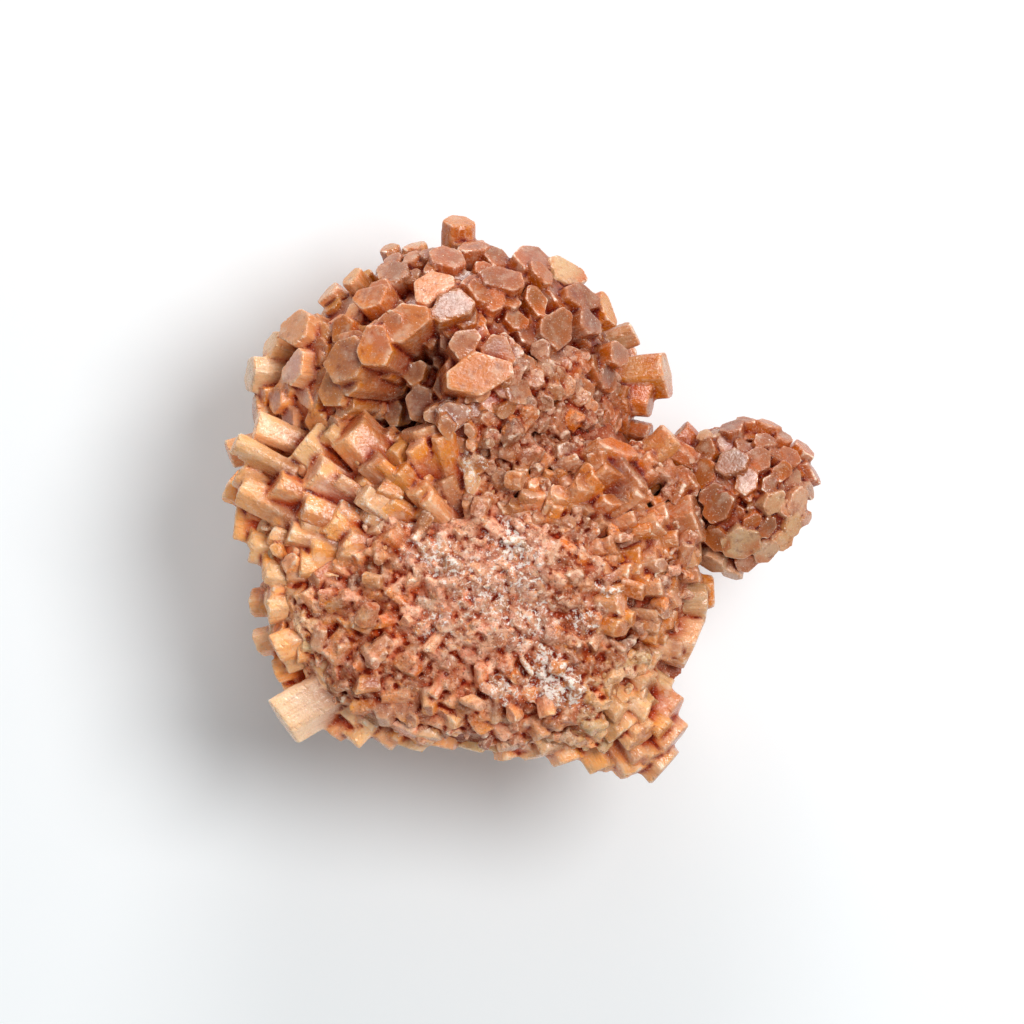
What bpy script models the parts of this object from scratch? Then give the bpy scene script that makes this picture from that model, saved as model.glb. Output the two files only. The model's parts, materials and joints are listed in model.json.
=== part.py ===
"""Aragonite star cluster: three sprays of six-sided crystals and one round bud, grown together as one stone.

The cluster lies as it would on a table. Seen from above, the crown is at the back left, the star with its
worn heart is in front, the bud stands out to the right, and the foot under the star carries it.
All sizes are in millimetres and become metres when the mesh is made.
"""

import math
import random

import bmesh
import bpy
from mathutils import Matrix, Vector

MM = 0.001
SEED = 41
SIDES = 6
GOLDEN_ANGLE = math.pi * (3 - math.sqrt(5))

# Each spray: its heart, from which the crystals radiate, and the three half-axes that their tips reach.
CROWN_HEART = Vector((-7.0, 10.5, 17.0))
CROWN_REACH = Vector((19.0, 14.4, 19.5))
STAR_HEART = Vector((-2.0, -9.0, 26.0))
STAR_REACH = Vector((22.5, 17.0, 17.0))
FOOT_HEART = Vector((2.0, -7.5, 12.5))
FOOT_REACH = Vector((15.5, 13.5, 14.0))
BUD_HEART = Vector((22.2, 0.2, 22.0))
BUD_REACH = Vector((7.5, 8.0, 7.8))

# The solid heart that each spray's crystals stand on: its half-axes.
CROWN_CORE = Vector((15.2, 11.6, 13.2))
STAR_CORE = Vector((17.6, 13.4, 10.8))
FOOT_CORE = Vector((12.4, 10.8, 11.0))
BUD_CORE = Vector((6.0, 6.4, 6.2))
ROOT_SHARE = 0.48  # of a crystal's distance from the heart: where its root is, inside the core
TAPER = 0.84  # width at the root over width at the tip

# Crystals that show from above, crown: tip x, tip y, distance from the heart, width.
CROWN_CRYSTALS = (
    (-5.9, 28.0, 18.0, 3.5), (-4.6, 25.0, 17.4, 3.4), (-12.9, 25.2, 16.6, 2.3), (-10.6, 25.4, 16.4, 2.3),
    (-12.6, 23.2, 17.2, 3.4), (-8.7, 24.3, 17.4, 3.2), (-7.2, 23.0, 18.6, 3.9), (-16.8, 22.4, 17.2, 2.9),
    (-19.2, 20.7, 17.2, 2.9), (-14.8, 20.2, 19.0, 4.2), (-8.9, 21.2, 19.2, 4.3), (-5.4, 21.6, 17.0, 3.4),
    (-6.7, 19.2, 20.0, 4.3), (-2.8, 19.9, 18.6, 2.8), (-1.1, 20.3, 18.2, 3.4), (-1.8, 22.3, 19.0, 4.9),
    (-11.6, 17.4, 20.6, 4.6), (-14.5, 15.4, 20.8, 4.9), (-17.4, 13.8, 20.2, 4.4), (-17.9, 17.2, 18.4, 3.2),
    (-22.4, 17.0, 19.9, 4.5), (-20.2, 14.4, 18.6, 3.1), (-24.8, 15.6, 19.9, 3.2), (-22.7, 12.9, 20.0, 4.0),
    (-27.2, 12.4, 21.2, 4.3), (-18.9, 10.6, 18.8, 4.0), (-21.8, 10.0, 18.6, 3.2), (-18.2, 8.0, 16.0, 3.3),
    (-26.6, 8.6, 20.6, 3.2), (-24.0, 7.4, 18.8, 3.0), (-26.0, 3.6, 20.4, 3.8), (-29.3, 4.6, 23.2, 3.8),
    (-14.8, 10.8, 14.8, 2.6), (-12.3, 11.3, 14.2, 2.4), (-10.5, 12.8, 15.4, 2.6), (-8.8, 12.4, 14.9, 2.4),
    (-10.3, 9.6, 15.0, 3.3), (-12.9, 8.4, 13.9, 2.5), (-7.3, 11.2, 15.4, 2.6), (-3.9, 12.5, 20.6, 5.6),
    (-5.5, 15.5, 20.2, 4.0), (-2.1, 14.9, 19.6, 3.7), (-6.6, 8.2, 18.4, 3.3), (-3.8, 8.6, 18.2, 2.7),
    (1.5, 24.2, 18.4, 4.0), (2.4, 22.5, 19.2, 3.3), (5.0, 23.0, 19.0, 4.3), (-2.4, 24.6, 17.4, 3.4),
    (1.8, 19.8, 18.8, 3.3), (6.5, 20.3, 19.6, 4.3), (9.1, 18.9, 19.7, 3.8), (7.3, 17.4, 19.4, 3.7),
    (3.9, 17.2, 19.0, 4.4), (11.6, 16.6, 20.2, 2.8), (7.7, 14.8, 17.8, 3.2), (10.4, 14.4, 20.2, 3.8),
    (14.9, 12.6, 22.4, 4.7), (4.9, 13.2, 18.4, 3.5), (1.1, 13.0, 18.4, 2.6), (9.0, 11.9, 18.8, 3.6),
    (11.0, 9.4, 19.4, 3.4), (13.2, 9.4, 21.4, 3.4), (10.3, 7.4, 18.8, 3.2), (13.2, 6.6, 21.0, 3.2), (0.6, 10.2, 18.4, 2.8),
    (3.6, 9.6, 18.6, 2.8), (6.6, 8.4, 18.6, 2.8), (1.2, 6.8, 18.6, 2.6), (4.6, 6.0, 18.4, 2.6),
)

# Star: tip x, tip y, rise above the heart, width.
STAR_CRYSTALS = (
    (-17.4, 7.0, 4.4, 4.7), (-21.3, 6.2, 2.6, 4.5), (-13.6, 6.6, 3.4, 3.0), (-10.2, 6.2, 6.0, 3.0),
    (-7.3, 6.8, 7.0, 3.2), (-15.0, 3.8, 6.4, 3.6), (-12.0, 2.9, 7.0, 2.8), (-24.6, 1.5, 3.0, 4.6),
    (-29.0, 1.6, -2.4, 4.6), (-28.4, -1.9, -1.0, 4.0), (-26.8, -4.8, 0.4, 3.8), (-23.0, -3.2, 4.4, 3.8),
    (-25.0, -8.6, 1.8, 3.9), (-26.9, -10.2, -2.2, 3.2), (-26.3, -14.4, -2.0, 3.2), (-24.4, -17.2, -1.8, 3.4),
    (-22.3, -13.6, 2.6, 3.8), (-23.8, -22.2, 1.0, 4.6), (-19.0, -22.8, -1.6, 3.8), (-19.4, -18.6, 3.0, 3.4),
    (-15.8, -24.0, -0.6, 3.6), (-12.6, -24.4, -1.0, 3.2), (-9.6, -24.9, -1.4, 3.6), (-6.2, -24.8, -0.4, 3.4),
    (-2.8, -25.6, -1.2, 3.4), (0.4, -26.0, -0.8, 3.4), (3.6, -26.2, -1.2, 3.4), (7.4, -26.9, -0.6, 3.8),
    (11.0, -27.0, 0.4, 4.2), (14.4, -27.6, -1.2, 4.4), (15.6, -24.2, 0.6, 4.2), (14.0, -21.6, 2.6, 4.2), (11.0, -22.8, 3.6, 3.6),
    (15.4, -19.0, -0.6, 3.2), (12.6, -18.6, 3.2, 3.6), (16.4, -15.8, 1.0, 3.8), (18.0, -14.0, 0.6, 4.2),
    (19.0, -10.6, 0.0, 3.8), (19.6, -8.0, -1.0, 3.4), (17.8, -4.4, 3.2, 3.8), (18.0, -1.6, 5.0, 4.6),
    (17.2, 0.8, 2.4, 3.6), (14.2, -8.0, 4.6, 3.8), (15.2, -11.6, 4.4, 3.6), (13.2, 1.4, 5.4, 3.8),
    (11.8, 3.0, 5.8, 4.2), (9.6, 5.6, 5.6, 4.4), (7.2, 2.0, 6.8, 3.2), (13.0, 5.8, 3.4, 3.2),
)

# Worn face of the star: rings of short stubs, each with its distance from the heart in plan,
# how many stand round it, their width, the rise of their tips and how steeply they point up, in degrees.
FACE_CENTRE = (-1.5, -9.0)
FACE_OVAL = 0.80  # the rings are this much shorter across than along
FACE_RINGS = (
    (17.4, 13, 3.5, 5.2, 28),
    (13.4, 12, 3.4, 6.5, 42),
    (9.4, 9, 3.4, 7.4, 56),
    (5.4, 6, 3.4, 8.0, 70),
    (0.0, 1, 3.6, 8.6, 90),
)

# Bud: tip x, tip y, distance from the heart, width.
BUD_CRYSTALS = (
    (15.4, 6.6, 9.4, 2.6), (18.6, 7.3, 8.4, 2.6), (22.4, 8.2, 8.4, 2.8), (25.8, 7.4, 8.4, 2.7),
    (28.4, 5.4, 8.4, 2.7), (29.8, 2.6, 8.2, 2.6), (16.4, 3.9, 8.4, 2.6), (18.6, 4.4, 8.0, 2.8),
    (21.2, 4.2, 8.3, 3.4), (24.2, 4.9, 8.2, 3.0), (26.8, 3.6, 8.2, 2.8), (18.0, 1.4, 8.0, 2.7),
    (22.6, 1.2, 8.1, 2.6), (25.5, 1.0, 8.2, 2.9), (28.6, -0.6, 8.2, 2.8), (19.9, -1.0, 8.4, 3.5),
    (25.2, -2.2, 8.2, 2.8), (22.4, -4.0, 8.2, 3.3), (19.4, -4.4, 8.2, 3.0), (25.0, -5.2, 8.4, 2.8),
    (21.8, -7.2, 8.6, 2.8), (18.8, -7.0, 8.8, 2.8), (15.6, -2.6, 9.0, 2.8), (28.0, -3.6, 8.4, 2.6),
)

# Crystals on the sides and below, spread evenly: how many would cover the whole spray, width, and the
# highest direction, as a share of straight up, that they point to.
CROWN_COVER = (62, 6.3, 0.2)
STAR_COVER = (54, 6.3, -0.25)
FOOT_COVER = (46, 6.1, 0.3)
BUD_COVER = (24, 4.2, -0.05)

# Outline of the cluster from above, clockwise from the tallest crystal at the back. The covering crystals,
# which are all below the ones that show, stay inside it.
PLAN_OUTLINE = (
    (-7.5, 28.0), (-4.5, 28.2), (-3.2, 26.0), (-0.5, 24.7), (3.0, 24.7), (6.5, 22.5), (9.5, 20.2),
    (12.3, 17.5), (12.6, 15.0), (15.4, 13.7), (14.8, 10.7), (14.0, 9.0), (14.5, 6.6), (17.0, 7.6),
    (22.5, 8.6), (26.5, 7.2), (29.5, 3.7), (30.0, 1.0), (29.3, -2.5), (26.3, -5.5), (23.5, -6.9),
    (21.0, -8.3), (19.6, -8.0), (19.2, -10.5), (17.8, -15.0), (15.5, -16.0), (15.4, -19.5), (16.0, -24.0),
    (15.3, -27.5), (11.8, -28.3), (8.5, -27.0), (-1.0, -26.3), (-11.5, -25.3), (-20.0, -22.6),
    (-22.4, -23.4), (-24.7, -20.8), (-23.2, -18.5), (-26.2, -15.0), (-27.0, -9.0), (-27.7, -5.8),
    (-29.5, 0.0), (-30.0, 6.5), (-27.7, 6.5), (-28.0, 9.5), (-27.2, 13.5), (-25.0, 16.7), (-20.7, 19.0),
    (-20.2, 21.2), (-16.0, 23.5), (-13.5, 25.7), (-8.0, 26.3),
)

WIDTH_SPREAD = 0.16  # random share of a covering crystal's width
REACH_SPREAD = 0.07  # random share of its reach
LEAN_SPREAD = 0.10  # random lean of its axis
CORNER_SPREAD = 0.09  # random share of each corner's distance from the axis

NECK_CENTRE = Vector((15.4, -1.4, 22.0))  # joins the bud to the star
NECK_REACH = Vector((5.4, 6.8, 5.6))
SADDLE_CENTRE = Vector((1.0, 3.0, 20.0))  # fills the stone between the crown, star and foot
SADDLE_REACH = Vector((11.0, 11.0, 11.0))

STONE_COLOUR = (0.60, 0.27, 0.15, 1.0)
STONE_ROUGHNESS = 0.45


def clear_scene():
    for item in list(bpy.data.objects):
        bpy.data.objects.remove(item)


def stone_material():
    material = bpy.data.materials.new("aragonite")
    material.use_nodes = True
    shader = material.node_tree.nodes["Principled BSDF"]
    shader.inputs["Base Color"].default_value = STONE_COLOUR
    shader.inputs["Roughness"].default_value = STONE_ROUGHNESS
    shader.inputs["Metallic"].default_value = 0.0
    return material


def mesh_object(name, shape):
    """A bmesh in millimetres becomes an object in metres."""
    bmesh.ops.scale(shape, vec=(MM, MM, MM), verts=shape.verts)
    mesh = bpy.data.meshes.new(name)
    shape.to_mesh(mesh)
    shape.free()
    item = bpy.data.objects.new(name, mesh)
    bpy.context.scene.collection.objects.link(item)
    return item


def ellipsoid(name, centre, half_axes, rings=2):
    shape = bmesh.new()
    bmesh.ops.create_icosphere(shape, subdivisions=rings, radius=1.0)
    bmesh.ops.scale(shape, vec=half_axes, verts=shape.verts)
    bmesh.ops.translate(shape, vec=centre, verts=shape.verts)
    return mesh_object(name, shape)


def crystal(name, root, tip, width, dice):
    """A six-sided prism from root to tip, a little narrower at the root, with uneven corners."""
    along = tip - root
    turn = along.to_track_quat("Z", "Y").to_matrix().to_4x4()
    roll = Matrix.Rotation(dice.uniform(0, math.tau / SIDES), 4, "Z")
    flatness = dice.uniform(0.84, 1.0)
    corner_reach = width / math.sqrt(3)
    corners = []
    for side in range(SIDES):
        angle = math.tau * side / SIDES
        reach = corner_reach * (1 + dice.uniform(-CORNER_SPREAD, CORNER_SPREAD))
        corners.append((reach * math.cos(angle), reach * flatness * math.sin(angle)))
    shape = bmesh.new()
    low = [shape.verts.new((x * TAPER, y * TAPER, 0)) for x, y in corners]
    high = [shape.verts.new((x, y, along.length)) for x, y in corners]
    shape.faces.new(list(reversed(low)))
    shape.faces.new(high)
    for side in range(SIDES):
        after = (side + 1) % SIDES
        shape.faces.new((low[side], low[after], high[after], high[side]))
    shape.transform(Matrix.Translation(root) @ turn @ roll)
    return mesh_object(name, shape)


def radiating_tip(heart, x, y, distance):
    """The point above (x, y) at this distance from the heart, or beside it where it can't be above."""
    rise = math.sqrt(max(distance ** 2 - (x - heart.x) ** 2 - (y - heart.y) ** 2, 0.0))
    return Vector((x, y, heart.z + rise))


def inside(point, centre, half_axes, share):
    offset = point - centre
    return sum((offset[k] / (half_axes[k] * share)) ** 2 for k in range(3)) < 1


def in_outline(x, y):
    """Whether (x, y) is within the plan outline, by the crossings to its left."""
    crossings = 0
    for (ax, ay), (bx, by) in zip(PLAN_OUTLINE, PLAN_OUTLINE[1:] + PLAN_OUTLINE[:1]):
        if (ay > y) != (by > y) and x > ax + (y - ay) * (bx - ax) / (by - ay):
            crossings += 1
    return crossings % 2 == 1


def kept_in_outline(heart, tip, width):
    """The tip, drawn back towards the heart until the whole of its end is within the outline."""
    for _ in range(20):
        edge = tip + Vector((tip.x - heart.x, tip.y - heart.y, 0)).normalized() * width * 0.45
        if in_outline(edge.x, edge.y):
            break
        tip = heart.lerp(tip, 0.97)
    return tip


def covering_tips(heart, half_axes, cover, taken, dice):
    """Tips spread evenly over a spray's sides and underside, clear of those already placed."""
    count, width, highest = cover
    tips = []
    for index in range(count):
        up = 1 - 2 * (index + 0.5) / count
        around = GOLDEN_ANGLE * index
        flat = math.sqrt(1 - up * up)
        direction = Vector((flat * math.cos(around), flat * math.sin(around), up))
        reach = 1 + dice.uniform(-REACH_SPREAD, REACH_SPREAD)
        size = width * (1 + dice.uniform(-WIDTH_SPREAD, WIDTH_SPREAD))
        lean = Vector([dice.uniform(-LEAN_SPREAD, LEAN_SPREAD) for _ in range(3)])
        tip = heart + Vector([half_axes[k] * (direction[k] * reach + lean[k] * 0.3) for k in range(3)])
        tip = kept_in_outline(heart, tip, size)
        near = any((tip - other).length < 0.5 * (size + other_size) for other, other_size in taken)
        buried = any(
            inside(tip, centre, reaches, 0.86)
            for centre, reaches in SPRAYS
            if centre is not heart
        )
        if up <= highest and not near and not buried:
            tips.append((tip, size))
    return tips


SPRAYS = (
    (CROWN_HEART, CROWN_REACH),
    (STAR_HEART, STAR_REACH),
    (FOOT_HEART, FOOT_REACH),
    (BUD_HEART, BUD_REACH),
)


def crown_tips():
    return [(radiating_tip(CROWN_HEART, x, y, far), width) for x, y, far, width in CROWN_CRYSTALS]


def bud_tips():
    return [(radiating_tip(BUD_HEART, x, y, far), width) for x, y, far, width in BUD_CRYSTALS]


def star_tips():
    return [(Vector((x, y, STAR_HEART.z + rise)), width) for x, y, rise, width in STAR_CRYSTALS]


def spray_crystals(name, heart, half_axes, tips, cover, dice):
    """Every crystal of a spray: the placed tips, then the covering ones."""
    taken = list(tips)
    found = tips + covering_tips(heart, half_axes, cover, taken, dice)
    return [
        crystal(f"{name}_{index:03d}", heart.lerp(tip, ROOT_SHARE), tip, width, dice)
        for index, (tip, width) in enumerate(found)
    ]


def face_crystals(dice):
    """Short stubs on the star's worn face, steeper towards its middle."""
    stubs = []
    for ring, (distance, count, width, rise, steepness) in enumerate(FACE_RINGS):
        for place in range(count):
            angle = math.tau * (place + 0.5 * (ring % 2)) / count + dice.uniform(-0.08, 0.08)
            out = Vector((math.cos(angle), FACE_OVAL * math.sin(angle), 0))
            tip = Vector((FACE_CENTRE[0], FACE_CENTRE[1], STAR_HEART.z + rise)) + out * distance
            tip.z += dice.uniform(-0.7, 0.7)
            slope = math.radians(steepness)
            axis = out.normalized() * math.cos(slope) + Vector((0, 0, math.sin(slope)))
            size = width * (1 + dice.uniform(-WIDTH_SPREAD, WIDTH_SPREAD))
            stubs.append(crystal(f"face_{ring}_{place}", tip - axis * 7.5, tip, size, dice))
    return stubs


def cores():
    return [
        ellipsoid("crown_core", CROWN_HEART, CROWN_CORE),
        ellipsoid("star_core", STAR_HEART - Vector((0, 0, 3)), STAR_CORE),
        ellipsoid("foot_core", FOOT_HEART, FOOT_CORE),
        ellipsoid("bud_core", BUD_HEART, BUD_CORE),
        ellipsoid("neck_core", NECK_CENTRE, NECK_REACH),
        ellipsoid("saddle_core", SADDLE_CENTRE, SADDLE_REACH),
    ]


def combined(body, others, operation):
    """The closed mesh of one object joined with, or cut by, the others, which are all used up."""
    group = bpy.data.collections.new("others")
    bpy.context.scene.collection.children.link(group)
    for other in others:
        bpy.context.scene.collection.objects.unlink(other)
        group.objects.link(other)
    modifier = body.modifiers.new(operation.lower(), "BOOLEAN")
    modifier.operation = operation
    modifier.operand_type = "COLLECTION"
    modifier.collection = group
    modifier.solver = "EXACT"
    bpy.context.view_layer.update()
    graph = bpy.context.evaluated_depsgraph_get()
    mesh = bpy.data.meshes.new_from_object(body.evaluated_get(graph))
    for item in [body, *others]:
        bpy.data.objects.remove(item)
    bpy.data.collections.remove(group)
    return mesh


def connected_parts(shape):
    """The faces of a bmesh, in lists that hold together."""
    left = set(shape.faces)
    parts = []
    while left:
        edge_of = [left.pop()]
        part = list(edge_of)
        while edge_of:
            for edge in edge_of.pop().edges:
                for face in edge.link_faces:
                    if face in left:
                        left.remove(face)
                        edge_of.append(face)
                        part.append(face)
        parts.append(part)
    return sorted(parts, key=len, reverse=True)


def outer_shell(mesh):
    """The union's outside alone: closed hollows between the roots of crystals are filled with stone."""
    shape = bmesh.new()
    shape.from_mesh(mesh)
    for hollow in connected_parts(shape)[1:]:
        bmesh.ops.delete(shape, geom=hollow, context="FACES")
    loose = [vert for vert in shape.verts if not vert.link_faces]
    bmesh.ops.delete(shape, geom=loose, context="VERTS")
    bmesh.ops.triangulate(shape, faces=shape.faces)
    shape.to_mesh(mesh)
    shape.free()
    return mesh


def linked(name, mesh):
    item = bpy.data.objects.new(name, mesh)
    bpy.context.scene.collection.objects.link(item)
    return item


def box_below(depth):
    """A block whose top is the table, wide enough for the whole cluster."""
    shape = bmesh.new()
    bmesh.ops.create_cube(shape, size=1.0)
    bmesh.ops.scale(shape, vec=(120, 120, depth), verts=shape.verts)
    bmesh.ops.translate(shape, vec=(0, 0, -depth / 2), verts=shape.verts)
    return mesh_object("table", shape)


def centred(mesh):
    """Moved so that the middle of its footprint's box is the origin."""
    low = [min(vert.co[k] for vert in mesh.vertices) for k in range(3)]
    high = [max(vert.co[k] for vert in mesh.vertices) for k in range(3)]
    shift = Vector((-(low[0] + high[0]) / 2, -(low[1] + high[1]) / 2, -low[2]))
    mesh.transform(Matrix.Translation(shift))
    print("moved by, mm", [round(value / MM, 3) for value in shift])
    print("size, mm", [round((high[k] - low[k]) / MM, 2) for k in range(3)])


def build():
    clear_scene()
    dice = random.Random(SEED)
    pieces = cores()
    pieces += spray_crystals("crown", CROWN_HEART, CROWN_REACH, crown_tips(), CROWN_COVER, dice)
    pieces += spray_crystals("star", STAR_HEART, STAR_REACH, star_tips(), STAR_COVER, dice)
    pieces += spray_crystals("foot", FOOT_HEART, FOOT_REACH, [], FOOT_COVER, dice)
    pieces += spray_crystals("bud", BUD_HEART, BUD_REACH, bud_tips(), BUD_COVER, dice)
    pieces += face_crystals(dice)
    print(len(pieces), "pieces before the union")
    grown = outer_shell(combined(pieces[0], pieces[1:], "UNION"))
    cluster_mesh = combined(linked("grown", grown), [box_below(40)], "DIFFERENCE")
    outer_shell(cluster_mesh)
    centred(cluster_mesh)
    cluster_mesh.materials.clear()
    cluster_mesh.materials.append(stone_material())
    cluster = linked("aragonite_cluster", cluster_mesh)
    print(cluster.name, len(cluster_mesh.polygons), "triangles")


build()
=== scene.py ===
import json
import math
import random

import bmesh
import bpy
from mathutils import Matrix, Vector, noise

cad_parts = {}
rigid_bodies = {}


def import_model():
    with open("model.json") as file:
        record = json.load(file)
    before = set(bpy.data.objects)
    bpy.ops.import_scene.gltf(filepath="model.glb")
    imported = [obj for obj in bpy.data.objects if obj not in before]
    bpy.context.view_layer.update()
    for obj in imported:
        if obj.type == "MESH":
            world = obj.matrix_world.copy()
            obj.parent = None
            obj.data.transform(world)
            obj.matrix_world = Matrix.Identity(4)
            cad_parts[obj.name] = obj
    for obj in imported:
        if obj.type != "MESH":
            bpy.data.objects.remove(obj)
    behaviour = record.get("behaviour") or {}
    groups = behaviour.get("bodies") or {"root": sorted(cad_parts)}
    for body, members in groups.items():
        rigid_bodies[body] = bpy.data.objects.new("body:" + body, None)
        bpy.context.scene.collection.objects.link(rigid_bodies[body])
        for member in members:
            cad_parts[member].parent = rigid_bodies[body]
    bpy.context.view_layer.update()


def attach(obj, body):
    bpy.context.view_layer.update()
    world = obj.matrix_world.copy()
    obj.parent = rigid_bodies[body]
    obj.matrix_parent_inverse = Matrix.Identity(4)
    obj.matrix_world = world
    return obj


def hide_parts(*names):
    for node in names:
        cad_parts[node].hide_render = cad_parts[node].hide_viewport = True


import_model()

mm = 0.001
goldenAngle = math.pi * (3 - math.sqrt(5))

# Every list below is in millimetres, with x and y from the middle of the photographed outline.
cluster = {
    "shift": (-0.166, 0.349, 0.0),  # from the lists' middle to the row's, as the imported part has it
    "node": "aragonite_cluster",
    "slot": "aragonite",
    "tintSpread": 0.04,
    "edge": 0.45, "drawBack": 0.97, "drawBacks": 24,  # how a tip past the outline is brought inside it
}

sprays = {  # the heart that a spray's crystals radiate from, and the half-axes that their ends reach
    "crown": (Vector((-7.0, 10.5, 17.0)), Vector((19.0, 14.4, 19.5))),
    "star": (Vector((-2.0, -9.0, 26.0)), Vector((22.5, 17.0, 17.0))),
    "foot": (Vector((2.0, -7.5, 12.5)), Vector((15.5, 13.5, 14.0))),
    "bud": (Vector((22.2, 0.2, 22.0)), Vector((7.5, 8.0, 7.8))),
}

tints = {  # the body colour of a crystal, sRGB
    "gold": (234, 164, 106),
    "orange": (220, 126, 74),
    "rust": (176, 84, 50),
    "brick": (150, 70, 44),
    "rose": (204, 132, 100),
    "salmon": (222, 158, 130),
    "mauve": (163, 98, 67),
    "pale": (238, 190, 148),
    "cream": (246, 210, 174),
    "olive": (188, 152, 110),
    "grey": (122, 92, 82),
}

recess = (-12.0, 10.5, 5.8)  # the shaded hollow in the crown: x, y, radius

zoneTints = (  # colours of the small crystals: x, y, radius, tints; the first zone that holds a point counts
    (*recess, ("grey", "grey", "mauve", "brick")),
    (11.5, -21.5, 6.0, ("olive", "olive", "pale", "orange", "gold")),
    (27.0, -3.5, 5.0, ("pale", "gold", "pale", "rose")),
    (29.2, 2.5, 3.4, ("gold", "pale", "orange")),
    (24.8, 6.0, 4.6, ("rust", "orange", "rose")),
    (19.0, 1.0, 5.6, ("mauve", "mauve", "rust", "brick")),
    (5.5, 8.0, 8.5, ("rose", "rust", "mauve", "orange", "salmon", "brick")),
    (-23.5, 9.0, 5.0, ("rose", "gold", "salmon", "pale")),
    (-22.0, 15.5, 6.5, ("gold", "pale", "pale", "salmon")),
    (-26.0, -2.0, 5.5, ("gold", "orange", "pale")),
    (-25.0, -14.0, 5.0, ("pale", "gold", "rose")),
    (-8.0, -26.0, 4.0, ("pale", "rose", "gold")),
    (3.0, -27.0, 4.0, ("pale", "rose", "gold")),
    (-4.0, -9.0, 8.5, ("salmon", "salmon", "salmon", "rose")),
    (-15.0, -15.0, 9.0, ("rust", "rose", "mauve", "rust", "brick", "rose")),
    (13.0, -9.0, 7.0, ("orange", "rose", "rust", "rose")),
    (-18.0, 1.5, 8.0, ("rose", "rust", "rose", "gold", "orange")),
    (-2.0, -9.0, 24.0, ("rust", "rose", "orange", "rose", "brick")),
    (-7.0, 10.5, 40.0, ("rust", "mauve", "brick", "orange", "rose")),
)

frostReach = 1.15  # where a spot's powder ends, in spreads from its middle
frostSpots = (  # white powder on the stone: x, y, how far it spreads, how thick it is
    (-1.0, -4.3, 2.6, 1.0), (0.4, -6.6, 2.6, 0.7), (2.6, -17.2, 3.0, 1.0), (4.8, -19.4, 2.4, 0.9),
    (-1.6, -19.0, 2.4, 0.4), (-8.0, -6.0, 3.0, 0.5), (-19.8, 0.4, 2.4, 0.9), (-16.4, -1.0, 1.8, 0.8),
    (-5.2, 3.4, 1.7, 0.6), (-11.0, -4.6, 2.4, 0.5), (-3.0, -9.0, 5.0, 0.45), (1.0, -12.0, 4.5, 0.4),
    (9.0, -9.0, 2.2, 0.7), (6.4, -12.0, 2.0, 0.6), (-6.9, 8.4, 1.8, 0.35), (-8.6, -12.6, 2.6, 0.5),
)

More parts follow.
